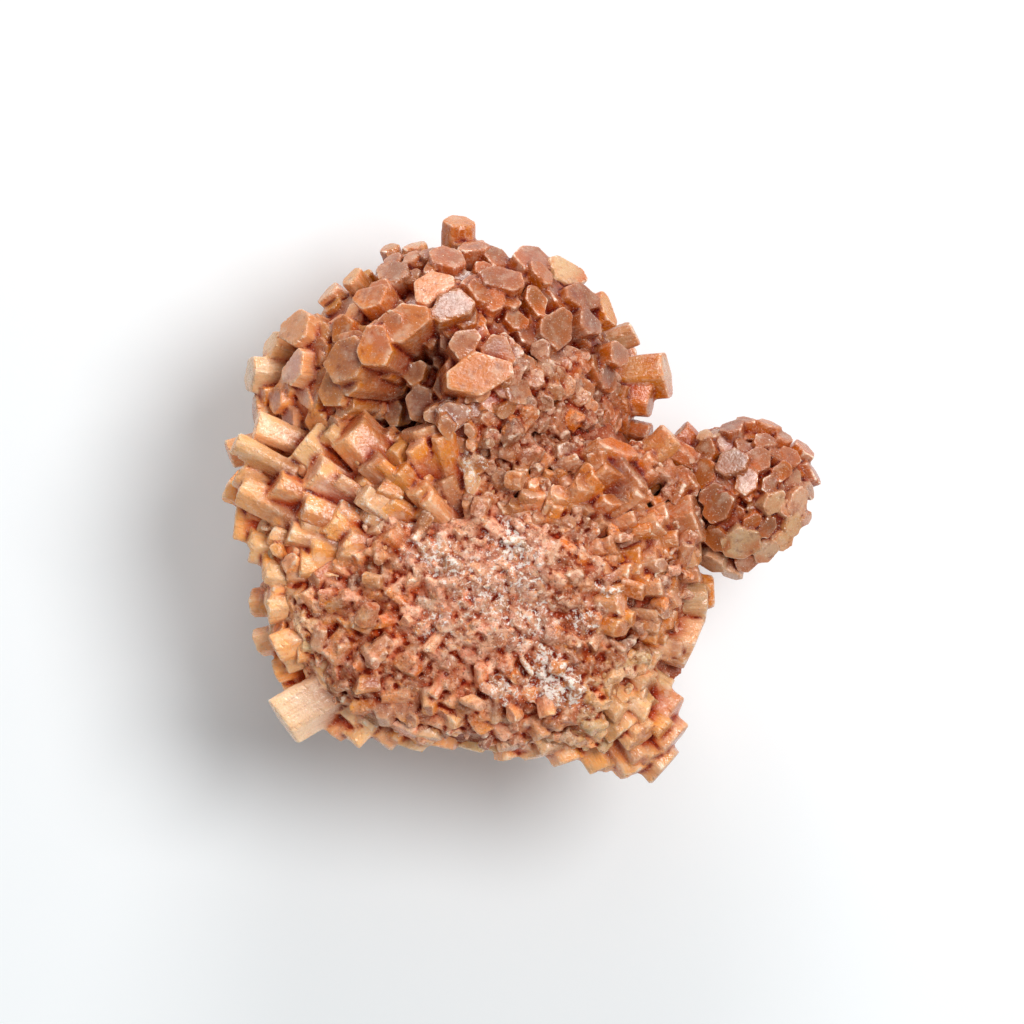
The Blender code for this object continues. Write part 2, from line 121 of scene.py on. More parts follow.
# Crystals that can be told apart in the photograph. Crown: x, y, distance from the heart, width, tint.
crownCrystals = (
    (-5.9, 28.0, 18.0, 3.5, "gold"), (-4.7, 25.4, 17.6, 3.2, "orange"), (-13.0, 25.4, 16.7, 2.2, "gold"),
    (-10.6, 25.6, 16.5, 2.2, "gold"), (-12.8, 24.2, 17.0, 2.5, "rose"), (-12.7, 22.9, 17.4, 3.2, "mauve"),
    (-8.7, 24.8, 17.4, 2.8, "rose"), (-7.2, 24.2, 18.2, 3.3, "rust"), (-10.8, 24.4, 17.3, 2.3, "rose"),
    (-16.8, 22.5, 17.2, 2.8, "gold"), (-19.3, 20.8, 17.1, 2.6, "gold"), (-14.8, 20.3, 18.6, 3.8, "rose"),
    (-8.8, 21.4, 19.0, 4.3, "gold"), (-5.4, 21.8, 17.2, 3.0, "mauve"), (-6.6, 19.2, 20.0, 4.2, "mauve"),
    (-2.8, 20.0, 18.8, 2.6, "orange"), (-1.1, 20.4, 18.4, 3.2, "mauve"), (-1.8, 22.2, 19.2, 4.6, "rust"),
    (-11.6, 17.6, 20.6, 4.6, "orange"), (-14.4, 15.4, 20.8, 4.8, "rose"), (-17.4, 13.9, 20.2, 4.2, "rose"),
    (-17.9, 16.9, 18.4, 3.0, "rust"), (-22.4, 17.2, 20.0, 4.2, "gold"), (-20.1, 14.7, 18.4, 2.9, "rust"),
    (-24.9, 15.8, 19.9, 3.0, "pale"), (-22.7, 13.0, 20.0, 3.8, "salmon"), (-27.2, 12.3, 21.2, 4.2, "pale"),
    (-18.9, 10.7, 18.6, 3.7, "rose"), (-21.7, 10.4, 18.4, 3.0, "rose"), (-18.1, 8.2, 14.6, 3.1, "grey"),
    (-19.8, 7.4, 15.2, 2.6, "grey"), (-26.6, 8.9, 20.6, 2.6, "rose"), (-24.6, 9.8, 19.6, 2.6, "rose"),
    (-23.2, 7.8, 18.6, 2.6, "rose"), (-25.2, 7.0, 19.4, 2.4, "rose"), (-26.0, 3.6, 20.4, 3.4, "rose"),
    (-29.3, 4.6, 23.2, 3.7, "gold"), (-27.0, 1.6, 21.8, 3.0, "rose"), (-22.0, 5.0, 16.2, 2.6, "grey"),
    (-14.6, 10.7, 13.4, 2.5, "grey"), (-12.4, 11.2, 12.9, 2.3, "grey"), (-10.6, 12.8, 15.1, 2.5, "mauve"),
    (-9.0, 12.4, 13.4, 2.2, "grey"), (-10.3, 9.7, 14.6, 3.2, "mauve"), (-12.8, 8.6, 12.6, 2.4, "grey"),
    (-7.4, 11.4, 15.1, 2.5, "mauve"), (-7.7, 14.1, 14.4, 1.9, "grey"), (-8.6, 7.2, 15.0, 2.3, "mauve"),
    (-15.6, 8.4, 13.4, 2.4, "grey"), (-16.4, 12.6, 16.4, 2.4, "rust"), (-13.2, 13.4, 16.4, 2.4, "rust"),
    (-3.9, 12.5, 20.5, 5.6, "orange"), (-5.5, 15.6, 20.0, 3.8, "rose"), (-2.2, 14.9, 19.5, 3.6, "rust"),
    (-6.5, 17.2, 18.4, 2.6, "rose"), (-4.3, 18.0, 18.2, 2.3, "rose"), (-6.8, 8.3, 17.6, 3.2, "salmon"),
    (-4.0, 8.6, 17.6, 2.4, "rose"), (1.4, 24.2, 18.5, 3.8, "rose"), (2.5, 22.6, 19.0, 3.1, "orange"),
    (4.9, 23.1, 19.0, 4.2, "pale"), (-2.4, 24.4, 17.4, 3.2, "rust"), (1.8, 19.9, 18.6, 3.1, "mauve"),
    (4.0, 20.2, 18.2, 2.8, "rust"), (6.5, 20.4, 19.5, 4.2, "rust"), (9.0, 19.0, 19.6, 3.7, "gold"),
    (7.3, 17.6, 19.4, 3.6, "rust"), (3.8, 17.3, 18.8, 4.3, "mauve"), (1.0, 16.6, 17.8, 2.6, "rust"),
    (11.7, 16.7, 20.1, 2.5, "pale"), (7.7, 14.9, 17.6, 3.1, "rust"), (10.2, 14.5, 20.0, 3.6, "mauve"),
    (14.9, 12.6, 22.4, 4.6, "gold"), (4.9, 12.9, 17.4, 3.3, "orange"), (1.2, 12.9, 17.8, 2.3, "rust"),
    (9.0, 12.1, 18.6, 3.4, "rust"), (11.0, 9.6, 19.2, 3.0, "rose"), (10.3, 8.0, 18.8, 3.2, "rust"),
    (13.2, 9.5, 21.2, 3.2, "rose"), (13.2, 6.6, 21.0, 2.8, "rust"), (7.4, 6.8, 18.2, 2.3, "rose"),
    (7.3, 9.3, 18.4, 2.0, "orange"), (4.2, 15.4, 17.2, 2.4, "rust"), (-0.4, 17.9, 18.0, 2.4, "rust"),
    (12.4, 12.2, 20.0, 3.0, "mauve"), (-1.4, 11.2, 18.4, 2.2, "rose"), (6.6, 10.9, 18.0, 2.4, "rose"),
)

# Star: x, y, rise of the end above the heart, width, tint.
starCrystals = (
    (-17.4, 7.1, 4.2, 4.6, "orange"), (-21.3, 6.3, 2.6, 4.3, "pale"), (-13.7, 6.7, 3.6, 2.6, "rust"),
    (-10.1, 7.2, 6.0, 3.3, "rose"), (-10.4, 5.6, 7.0, 2.6, "rose"), (-7.4, 6.8, 7.2, 3.0, "orange"),
    (-15.2, 3.8, 6.2, 3.5, "orange"), (-12.3, 3.0, 7.0, 2.6, "orange"), (-10.5, 1.2, 7.6, 2.6, "orange"),
    (-15.8, 0.6, 6.8, 2.1, "pale"), (-24.7, 1.5, 3.0, 4.4, "orange"), (-29.0, 1.6, -2.4, 4.3, "rose"),
    (-28.4, -1.9, -1.0, 3.8, "gold"), (-26.8, -4.6, 0.6, 3.6, "pale"), (-23.1, -3.3, 4.0, 3.6, "rose"),
    (-25.1, -8.8, 1.6, 3.8, "gold"), (-26.9, -10.2, -2.0, 3.0, "rose"), (-26.3, -14.4, -2.2, 3.0, "pale"),
    (-24.4, -17.1, -1.6, 3.2, "orange"), (-22.5, -14.3, 2.2, 3.0, "rose"), (-23.8, -22.2, 1.4, 4.7, "cream"),
    (-19.0, -23.2, -1.4, 3.1, "orange"), (-17.0, -24.1, -0.6, 3.5, "pale"), (-14.1, -24.3, -0.8, 3.0, "rose"),
    (-11.2, -24.8, -1.2, 3.3, "pale"), (-8.0, -24.8, -0.4, 3.0, "rose"), (-5.0, -25.1, -1.0, 3.0, "pale"),
    (-1.3, -26.0, -0.8, 3.2, "gold"), (2.0, -25.8, -1.0, 3.0, "pale"), (5.0, -26.3, -0.6, 3.5, "rose"),
    (8.4, -26.8, -0.6, 3.5, "olive"), (11.6, -27.4, 0.2, 4.0, "orange"), (14.4, -27.2, -1.0, 4.0, "rose"),
    (15.6, -24.2, 0.6, 4.2, "rose"), (15.6, -21.4, 1.2, 3.8, "orange"), (15.0, -19.0, 1.0, 2.6, "pale"),
    (17.0, -15.6, 1.0, 3.5, "rose"), (17.8, -14.0, 0.8, 3.9, "pale"), (18.7, -10.6, 0.6, 3.6, "pale"),
    (19.5, -8.9, -0.8, 3.3, "gold"), (17.8, -4.5, 3.0, 3.6, "pale"), (17.9, -1.9, 4.4, 4.3, "orange"),
    (17.3, -0.5, 3.2, 3.4, "orange"), (9.8, 5.5, 5.4, 4.1, "orange"), (11.7, 2.8, 5.6, 4.1, "rust"),
    (6.9, 1.9, 6.8, 3.4, "mauve"), (12.4, 0.8, 5.8, 3.0, "orange"), (13.3, 4.3, 4.4, 2.2, "rust"),
    (3.9, 1.0, 7.6, 1.9, "orange"), (1.2, 0.7, 7.8, 2.0, "rust"), (-5.2, 4.4, 7.4, 1.9, "olive"),
    (-5.0, 2.6, 7.8, 1.7, "pale"), (14.0, -13.4, 3.6, 2.6, "orange"), (11.0, -17.0, 4.2, 2.6, "orange"),
    (13.0, -18.7, 3.2, 2.8, "olive"), (10.4, -20.7, 4.0, 3.0, "olive"), (8.2, -20.3, 4.4, 2.6, "pale"),
    (13.0, -20.8, 3.0, 2.6, "olive"), (12.6, -23.7, 2.6, 3.3, "orange"), (5.6, -21.5, 4.4, 2.6, "orange"),
    (3.1, -20.3, 4.8, 2.4, "rose"), (-8.9, -22.1, 3.2, 2.6, "orange"), (-15.7, -19.8, 3.2, 2.6, "orange"),
    (-14.2, -18.6, 4.0, 2.2, "orange"), (14.6, -4.4, 5.4, 2.8, "rose"), (14.8, -7.2, 5.2, 2.6, "orange"),
    (15.8, -9.2, 4.2, 2.8, "rose"), (15.6, -12.0, 3.6, 2.6, "orange"), (14.2, -2.2, 5.8, 2.8, "rose"),
    (-21.8, -0.6, 4.8, 3.0, "rose"), (-20.6, 3.0, 5.0, 3.0, "rose"), (-22.0, -6.2, 4.4, 2.8, "gold"),
    (-22.4, -11.6, 3.2, 2.8, "pale"), (-20.0, -18.0, 2.4, 2.8, "gold"), (-12.0, -22.6, 2.4, 2.4, "rose"),
)

# Bud: x, y, distance from the heart, width, tint.
budCrystals = (
    (16.1, 4.8, 8.2, 2.2, "mauve"), (18.3, 4.7, 8.0, 2.9, "mauve"), (18.1, 2.6, 7.9, 2.8, "mauve"),
    (21.2, 4.0, 8.2, 3.3, "mauve"), (22.7, 1.8, 8.0, 2.3, "mauve"), (19.9, -0.5, 8.4, 3.4, "rust"),
    (16.1, 7.0, 9.4, 2.4, "rust"), (18.4, 6.6, 8.4, 2.2, "pale"), (14.8, 5.8, 9.6, 2.2, "rust"),
    (21.4, 7.5, 8.4, 2.8, "rust"), (22.6, 8.1, 8.3, 2.4, "rose"), (24.9, 7.8, 8.3, 2.6, "orange"),
    (24.0, 4.3, 8.1, 2.6, "mauve"), (24.5, 6.1, 8.2, 2.4, "rust"), (26.7, 6.3, 8.2, 2.4, "rust"),
    (27.3, 4.4, 8.1, 2.4, "rose"), (26.2, 2.8, 8.1, 2.6, "rust"), (28.7, 5.2, 8.4, 2.4, "orange"),
    (29.6, 2.8, 8.2, 2.4, "rose"), (29.2, 0.9, 8.1, 2.2, "pale"), (25.6, -0.4, 8.2, 2.6, "pale"),
    (28.0, -0.3, 8.2, 2.7, "pale"), (24.9, -2.8, 8.2, 2.4, "mauve"), (23.3, -2.2, 8.0, 2.1, "rust"),
    (22.1, -4.5, 8.4, 3.4, "pale"), (19.5, -3.9, 8.3, 2.8, "mauve"), (19.3, -6.6, 8.7, 2.7, "pale"),
    (24.8, -5.4, 8.4, 2.4, "pale"), (22.8, -6.5, 8.4, 2.4, "rose"), (27.4, -2.8, 8.2, 2.4, "pale"),
    (21.0, -7.6, 8.6, 2.4, "pale"), (28.9, -2.0, 8.2, 2.2, "pale"), (25.0, 1.4, 8.0, 2.2, "rust"),
    (20.2, 2.0, 7.8, 2.0, "mauve"), (16.8, -2.6, 8.4, 2.6, "rust"), (26.4, -4.2, 8.2, 2.2, "pale"),
    (16.6, 1.6, 8.0, 2.6, "brick"), (15.4, 3.4, 8.4, 2.4, "rust"), (17.4, -0.6, 7.6, 2.4, "brick"),
    (15.6, 0.6, 8.8, 3.4, "orange"), (14.4, 2.6, 10.0, 3.2, "orange"), (13.6, 5.0, 11.4, 3.0, "rust"),
)

planOutline = (
    (-7.5, 28.0), (-4.5, 28.2), (-3.2, 26.0), (-0.5, 24.7), (3.0, 24.7), (6.5, 22.5), (9.5, 20.2),
    (12.3, 17.5), (12.6, 15.0), (15.4, 13.7), (14.8, 10.7), (14.0, 9.0), (14.5, 6.6), (17.0, 7.6),
    (22.5, 8.6), (26.5, 7.2), (29.5, 3.7), (30.0, 1.0), (29.3, -2.5), (26.3, -5.5), (23.5, -6.9),
    (21.0, -8.3), (19.6, -8.0), (19.2, -10.5), (17.8, -15.0), (15.5, -16.0), (15.4, -19.5), (16.0, -24.0),
    (15.3, -27.5), (11.8, -28.3), (8.5, -27.0), (-1.0, -26.3), (-11.5, -25.3), (-20.0, -22.6),
    (-22.4, -23.4), (-24.7, -20.8), (-23.2, -18.5), (-26.2, -15.0), (-27.0, -9.0), (-27.7, -5.8),
    (-29.5, 0.0), (-30.0, 6.5), (-27.7, 6.5), (-28.0, 9.5), (-27.2, 13.5), (-25.0, 16.7), (-20.7, 19.0),
    (-20.2, 21.2), (-16.0, 23.5), (-13.5, 25.7), (-8.0, 26.3),
)


def srgb(red, green, blue):
    parts = [value / 255 for value in (red, green, blue)]
    return tuple(part / 12.92 if part < 0.04045 else ((part + 0.055) / 1.055) ** 2.4 for part in parts)


def stepped(pairs, at):
    # A value read off a list of (place, value) pairs, in straight lines between them.
    for (a, va), (b, vb) in zip(pairs, pairs[1:]):
        if at <= b:
            return va + (vb - va) * max(0.0, min(1.0, (at - a) / (b - a)))
    return pairs[-1][1]


def inOutline(x, y):
    crossings = 0
    for (ax, ay), (bx, by) in zip(planOutline, planOutline[1:] + planOutline[:1]):
        if (ay > y) != (by > y) and x > ax + (y - ay) * (bx - ax) / (by - ay):
            crossings += 1
    return crossings % 2 == 1


def keptInOutline(heart, tip, width):
    # A tip that stands out past the photographed outline is drawn back towards its heart.
    for _ in range(cluster["drawBacks"]):
        edge = tip + Vector((tip.x - heart.x, tip.y - heart.y, 0)).normalized() * width * cluster["edge"]
        if inOutline(edge.x, edge.y):
            break
        tip = heart.lerp(tip, cluster["drawBack"])
    return tip


def zoneTint(x, y, dice):
    for zoneX, zoneY, radius, names in zoneTints:
        if math.hypot(x - zoneX, y - zoneY) < radius:
            return dice.choice(names)
    return "rust"


def crystalSeed(tip, axis, width, depth, tint, dice, lean=0.04, grit=0.2):
    # One crystal to grow: where it ends, which way it points, how wide and deep it is, and its look.
    axis = axis.normalized() + Vector([dice.gauss(0, lean) for _ in range(3)])
    frost = max(much * max(0.0, frostReach - math.hypot(tip.x - x, tip.y - y) / size)
                for x, y, size, much in frostSpots)
    return {
        "tip": tip, "axis": axis.normalized(), "width": width, "depth": depth, "grit": grit,
        "tint": [channel * (1 + dice.gauss(0, cluster["tintSpread"])) for channel in srgb(*tints[tint])],
        "tone": dice.random(), "frost": min(1.0, frost),
    }


def onSphere(index, count, start=0.0):
    # Directions spread evenly over a ball.
    up = 1 - 2 * (index + 0.5) / count
    around = goldenAngle * index + start
    flat = math.sqrt(1 - up * up)
    return Vector((flat * math.cos(around), flat * math.sin(around), up))


def insideSpray(point, name, share):
    heart, reach = sprays[name]
    offset = point - heart
    return sum((offset[k] / (reach[k] * share)) ** 2 for k in range(3)) < 1


def placedSeeds(name, crystals, dice):
    heart = sprays[name][0]
    seeds = []
    for x, y, far, width, tint in crystals:
        if name == "star":
            tip = Vector((x, y, heart.z + far))
        else:
            rise = max(far ** 2 - (x - heart.x) ** 2 - (y - heart.y) ** 2, 0)
            tip = Vector((x, y, heart.z + math.sqrt(rise)))
        seeds.append(crystalSeed(tip, tip - heart, width, (tip - heart).length / 2, tint, dice))
    return seeds


companions = {  # smaller crystals grown into the sides of the placed ones, sized by their neighbour's width
    "crown": {"count": (1, 3), "width": (0.45, 0.90), "aside": (0.36, 0.66), "lower": (0.10, 0.70),
              "lean": 0.08, "widest": 5.0},
    "star": {"count": (1, 2), "width": (0.45, 0.85), "aside": (0.35, 0.60), "lower": (0.10, 0.80),
             "lean": 0.06, "widest": 4.45},
    "bud": {"count": (0, 1), "width": (0.55, 0.85), "aside": (0.35, 0.60), "lower": (0.05, 0.35),
            "lean": 0.08, "widest": 5.0},
}


def companionSeeds(name, placed, dice):
    heart, habit = sprays[name][0], companions[name]
    seeds = []
    for seed in placed:
        if seed["width"] > habit["widest"]:  # the biggest crystals stay clean
            continue
        for _ in range(dice.randint(*habit["count"])):
            aside = seed["axis"].cross(Vector([dice.gauss(0, 1) for _ in range(3)])).normalized()
            width = seed["width"] * dice.uniform(*habit["width"])
            tip = (seed["tip"] + aside * seed["width"] * dice.uniform(*habit["aside"])
                   - seed["axis"] * seed["width"] * dice.uniform(*habit["lower"]))
            tip = keptInOutline(heart, tip, width)
            shade = dice.uniform(0.85, 1.10)
            seeds.append(crystalSeed(tip, seed["axis"], width, seed["depth"], "rose", dice, habit["lean"]))
            seeds[-1]["tint"] = [channel * shade for channel in seed["tint"]]
    return seeds


covering = {"far": 0.05, "width": (0.8, 1.2), "touch": 0.42, "buried": 0.88, "overTable": 0.02}
covers = {  # crystals on the sides and underside: the number for a whole spray, and the highest direction
    "crown": {"count": 330, "width": 3.9, "top": 0.22},
    "star": {"count": 290, "width": 3.7, "top": 0.02},
    "foot": {"count": 210, "width": 3.6, "top": 0.45},
    "bud": {"count": 130, "width": 2.3, "top": 0.05},
}


def coveringSeeds(name, taken, dice):
    heart, reach = sprays[name]
    cover = covers[name]
    seeds = []
    for index in range(cover["count"]):
        out = onSphere(index, cover["count"])
        far = 1 + dice.uniform(-covering["far"], covering["far"])
        width = cover["width"] * dice.uniform(*covering["width"])
        tip = keptInOutline(heart, heart + Vector([reach[k] * out[k] * far for k in range(3)]), width)
        near = any((tip - seed["tip"]).length < covering["touch"] * (width + seed["width"]) for seed in taken)
        buried = any(insideSpray(tip, other, covering["buried"]) for other in sprays if other != name)
        if out.z > cover["top"] or near or buried:
            continue
        if tip.z < 0:  # what the cluster stands on ends at the table
            tip = heart.lerp(tip, (heart.z - covering["overTable"]) / (heart.z - tip.z))
        tint = zoneTint(tip.x, tip.y, dice)
        seeds.append(crystalSeed(tip, tip - heart, width, (tip - heart).length / 2, tint, dice))
    return seeds


filling = {
    "far": (0.94, 1.05), "width": (0.65, 1.35), "buried": 0.8, "lean": 0.12, "grit": 0.35,
    "depth": 2.2,  # the way to the heart is this many times a crystal's depth
}
fills = {  # shorter crystals in the gaps between the placed ones
    "crown": {"count": 760, "reach": 0.905, "width": 2.6, "bottom": 0.0},
    "bud": {"count": 230, "reach": 0.93, "width": 1.9, "bottom": -0.1},
}


def fillingSeeds(name, dice):
    heart, reach = sprays[name]
    fill = fills[name]
    seeds = []
    for index in range(fill["count"]):
        out = onSphere(index, fill["count"], 1.0)
        width = fill["width"] * dice.uniform(*filling["width"])
        far = fill["reach"] * dice.uniform(*filling["far"])
        tip = heart + Vector([reach[k] * out[k] * far for k in range(3)])
        inRecess = name == "crown" and math.hypot(tip.x - recess[0], tip.y - recess[1]) < recess[2]
        buried = any(insideSpray(tip, other, filling["buried"]) for other in sprays if other != name)
        if out.z < fill["bottom"] or buried or inRecess:
            continue
        tip = keptInOutline(heart, tip, width)
        tint = zoneTint(tip.x, tip.y, dice)
        seeds.append(crystalSeed(tip, tip - heart, width, (tip - heart).length / filling["depth"], tint, dice,
                                 filling["lean"], filling["grit"]))
    return seeds


starFace = {  # the worn top of the star, a low dome that falls away towards the outline
    "middle": (-1.0, -9.0), "focus": Vector((-2.0, -9.0, 26.0)),
    "top": 8.2, "rim": 4.8,  # height above the focus, in the middle and 20 mm out
    "radius": 20.0, "oval": 0.82,
    "shoulder": 6.0, "drop": 5.0,  # how far inside the outline the fall begins, and how much it is
    "border": 2.3, "budSide": 17.5, "crownSide": 3.6, "saddleFrom": -6.0, "saddleSide": 2.0, "crust": 1.6,
    "wave": 1.3, "waveScale": 0.22, "ripple": 0.6, "rippleScale": 0.6,
}


def edgeDistance(x, y):
    # How far a point inside the outline is from it.
    best = 99.0
    for (ax, ay), (bx, by) in zip(planOutline, planOutline[1:] + planOutline[:1]):
        dx, dy = bx - ax, by - ay
        along = max(0.0, min(1.0, ((x - ax) * dx + (y - ay) * dy) / (dx * dx + dy * dy)))
        best = min(best, math.hypot(x - ax - along * dx, y - ay - along * dy))
    return best


def faceHeight(x, y):
    dx, dy = x - starFace["middle"][0], (y - starFace["middle"][1]) / starFace["oval"]
    share = min(1.3, math.hypot(dx, dy) / starFace["radius"])
    scale, fine = starFace["waveScale"], starFace["rippleScale"]
    wave = noise.noise(Vector((x * scale, y * scale, 3.1))) * starFace["wave"]
    ripple = noise.noise(Vector((x * fine, y * fine, 8.4))) * starFace["ripple"]
    fall = max(0.0, 1 - edgeDistance(x, y) / starFace["shoulder"]) ** 2 * starFace["drop"]
    return (starFace["focus"].z + starFace["top"] - (starFace["top"] - starFace["rim"]) * share ** 2
            + wave + ripple - fall)


def onFace(x, y):
    # Whether a point is on the star's face: inside the outline's border and clear of the crown and the bud.
    if not inOutline(x, y) or edgeDistance(x, y) < starFace["border"] or x > starFace["budSide"]:
        return False
    return y < starFace["crownSide"] + (0.0 if x < starFace["saddleFrom"] else starFace["saddleSide"])


bundles = (  # where the star's crystals are whole: x, y, radius, width, length, and how much of it shows
    (-19.5, 0.0, 7.5, 2.0, 9.0, 5.2), (-9.0, 1.5, 6.0, 1.8, 7.5, 4.4), (11.0, -1.5, 6.5, 1.9, 8.5, 5.0),
    (13.0, -9.5, 7.0, 1.8, 9.0, 5.2), (12.0, -21.0, 4.5, 2.3, 6.0, 3.4), (2.5, 1.0, 4.5, 1.5, 5.5, 3.0),
)

bundleHabit = {
    "spacing": 0.64, "scatter": 0.45,  # sideways in widths, and in and out in runs
    "clear": 0.86, "cleared": 0.93,  # the share of the radius without rubble, and of the rubble that goes
    "border": 1.6, "crownSide": 3.0, "least": 2.5,
    "proud": (-0.4, 0.5), "width": (0.7, 1.3), "length": (0.8, 1.0), "lean": 0.05, "grit": 0.4,
}

packing = 0.84  # the area that each seed of a spiral gets, in squares of its spacing

rubble = {  # broken lumps on the star's face: spacing and lean by distance from its middle
    "reach": 30.0, "scatter": 0.25, "width": (0.75, 1.5), "depth": (1.3, 2.1),
    "spacing": ((0.0, 0.80), (7.0, 0.95), (10.0, 1.15), (15.0, 1.3), (20.0, 1.5), (30.0, 1.9)),
    "lean": ((0.0, 0.7), (8.0, 0.55), (14.0, 0.5), (30.0, 0.4)),
    "grit": ((0.0, 1.0), (9.0, 0.85), (14.0, 0.6), (30.0, 0.45)),
    "rough": ((0.0, 0.25), (8.0, 0.45), (14.0, 0.75), (30.0, 0.6)),
}


def inBundle(x, y):
    return any(math.hypot(x - bx, y - by) < radius * bundleHabit["clear"] for bx, by, radius, *_ in bundles)


def rubbleSeeds(dice):
    # Broken crystals on a sunflower spiral out from the middle of the star's face.
    seeds = []
    area, index, distance = 0.0, 0, 0.0
    while distance < rubble["reach"]:
        gap = stepped(rubble["spacing"], distance)
        area += packing * gap * gap
        index += 1
        distance = math.sqrt(area / math.pi)
        angle = goldenAngle * index
        dx = distance * math.cos(angle) + dice.gauss(0, gap * rubble["scatter"])
        dy = distance * math.sin(angle) + dice.gauss(0, gap * rubble["scatter"])
        x, y = starFace["middle"][0] + dx, starFace["middle"][1] + starFace["oval"] * dy
        if not onFace(x, y) or inBundle(x, y) and dice.random() < bundleHabit["cleared"]:
            continue
        rough = stepped(rubble["rough"], distance)
        tip = Vector((x, y, faceHeight(x, y) + dice.gauss(0, rough)))
        width = gap * dice.uniform(*rubble["width"])
        depth = gap * dice.uniform(*rubble["depth"])
        seeds.append(crystalSeed(tip, tip - starFace["focus"], width, depth, zoneTint(x, y, dice), dice,
                                 stepped(rubble["lean"], distance), stepped(rubble["grit"], distance)))
    return seeds


def bundleSeeds(dice):
    # Whole crystals side by side in rows around the star's focus, their broken ends at uneven heights.
    seeds = []
    focus, habit = starFace["focus"], bundleHabit
    for middleX, middleY, radius, width, length, run in bundles:
        far = math.hypot(middleX - focus.x, middleY - focus.y)
        ring = max(habit["least"], far - radius)
        while ring < far + radius:
            halfTurn = min(math.pi, radius / ring)
            angle = math.atan2(middleY - focus.y, middleX - focus.x) - halfTurn
            for _ in range(int(2 * halfTurn * ring / (width * habit["spacing"]))):
                angle += width * habit["spacing"] / ring
                out = ring + run * dice.uniform(-habit["scatter"], habit["scatter"])
                x, y = focus.x + out * math.cos(angle), focus.y + out * math.sin(angle)
                if math.hypot(x - middleX, y - middleY) > radius or not inOutline(x, y):
                    continue
                if edgeDistance(x, y) < habit["border"] or y > starFace["crownSide"] + habit["crownSide"]:
                    continue
                tip = Vector((x, y, faceHeight(x, y) + dice.uniform(*habit["proud"])))
                ownWidth = width * dice.uniform(*habit["width"])
                ownLength = length * dice.uniform(*habit["length"])
                seeds.append(crystalSeed(tip, tip - focus, ownWidth, ownLength, zoneTint(x, y, dice), dice,
                                         habit["lean"], habit["grit"]))
            ring += run
    return seeds


rim = {
    "step": 1.7, "inside": (0.5, 1.8), "rise": (-3.0, 3.0), "width": (2.0, 3.6), "depth": 7.0,
    "top": 7.5, "budCorner": (18.6, -9.0),  # where the star's part of the outline ends
    "lean": 0.10, "grit": 0.3, "tints": ("pale", "pale", "gold", "salmon"),
}


def rimSeeds(dice):
    # Crystals side by side along the star's part of the outline.
    seeds = []
    focus = starFace["focus"]
    for start, end in zip(planOutline, planOutline[1:] + planOutline[:1]):
        a, b = Vector((*start, 0)), Vector((*end, 0))
        for _ in range(int((b - a).length / rim["step"]) + 1):
            point = a.lerp(b, dice.uniform(0, 1))
            inward = (Vector((focus.x, focus.y, 0)) - point).normalized() * dice.uniform(*rim["inside"])
            tip = Vector((point.x + inward.x, point.y + inward.y, focus.z + dice.uniform(*rim["rise"])))
            if tip.y > rim["top"] or tip.x > rim["budCorner"][0] and tip.y > rim["budCorner"][1]:
                continue
            width = dice.uniform(*rim["width"])
            tip = keptInOutline(focus, tip, width)
            seeds.append(crystalSeed(tip, tip - focus, width, rim["depth"], dice.choice(rim["tints"]), dice,
                                     rim["lean"], rim["grit"]))
    return seeds


crumbs = {
    "count": 5000, "spread": (12.5, 8.5), "width": (0.45, 1.3), "depth": 1.4, "up": 0.2, "grit": 0.9,
    "proud": ((0.0, 0.15), (7.0, 0.05), (12.0, -0.3), (30.0, -0.4)),  # over the face, from its middle out
    "scatter": (-0.35, 0.4),
}


def crumbSeeds(dice):
    # Crumbs of broken crystal lying any way round, on the heart of the star and in the gaps around it.
    seeds = []
    while len(seeds) < crumbs["count"]:
        dx, dy = dice.gauss(0, crumbs["spread"][0]), dice.gauss(0, crumbs["spread"][1])
        x, y = starFace["middle"][0] + dx, starFace["middle"][1] + dy
        if not onFace(x, y) or inBundle(x, y) and dice.random() < bundleHabit["cleared"]:
            continue
        axis = Vector((dice.gauss(0, 1), dice.gauss(0, 1), abs(dice.gauss(0, 1)) + crumbs["up"]))
        width = dice.uniform(*crumbs["width"])
        distance = math.hypot(dx, dy / starFace["oval"])
        proud = stepped(crumbs["proud"], distance) + dice.uniform(*crumbs["scatter"])
        tip = Vector((x, y, faceHeight(x, y) + proud))
        seeds.append(crystalSeed(tip, axis, width, width * crumbs["depth"], zoneTint(x, y, dice), dice,
                                 grit=crumbs["grit"]))
    return seeds


saddle = {
    "middle": (4.6, 6.4), "halfAxes": (10.6, 8.8), "reach": 18.2,
    "least": 40,  # the square of the lowest rise over the crown's heart
    "spacing": 1.45, "scatter": 0.3, "proud": (-0.9, 0.7),
    "width": (0.7, 1.6), "depth": (3, 5), "lean": 0.3, "grit": 0.7,
}


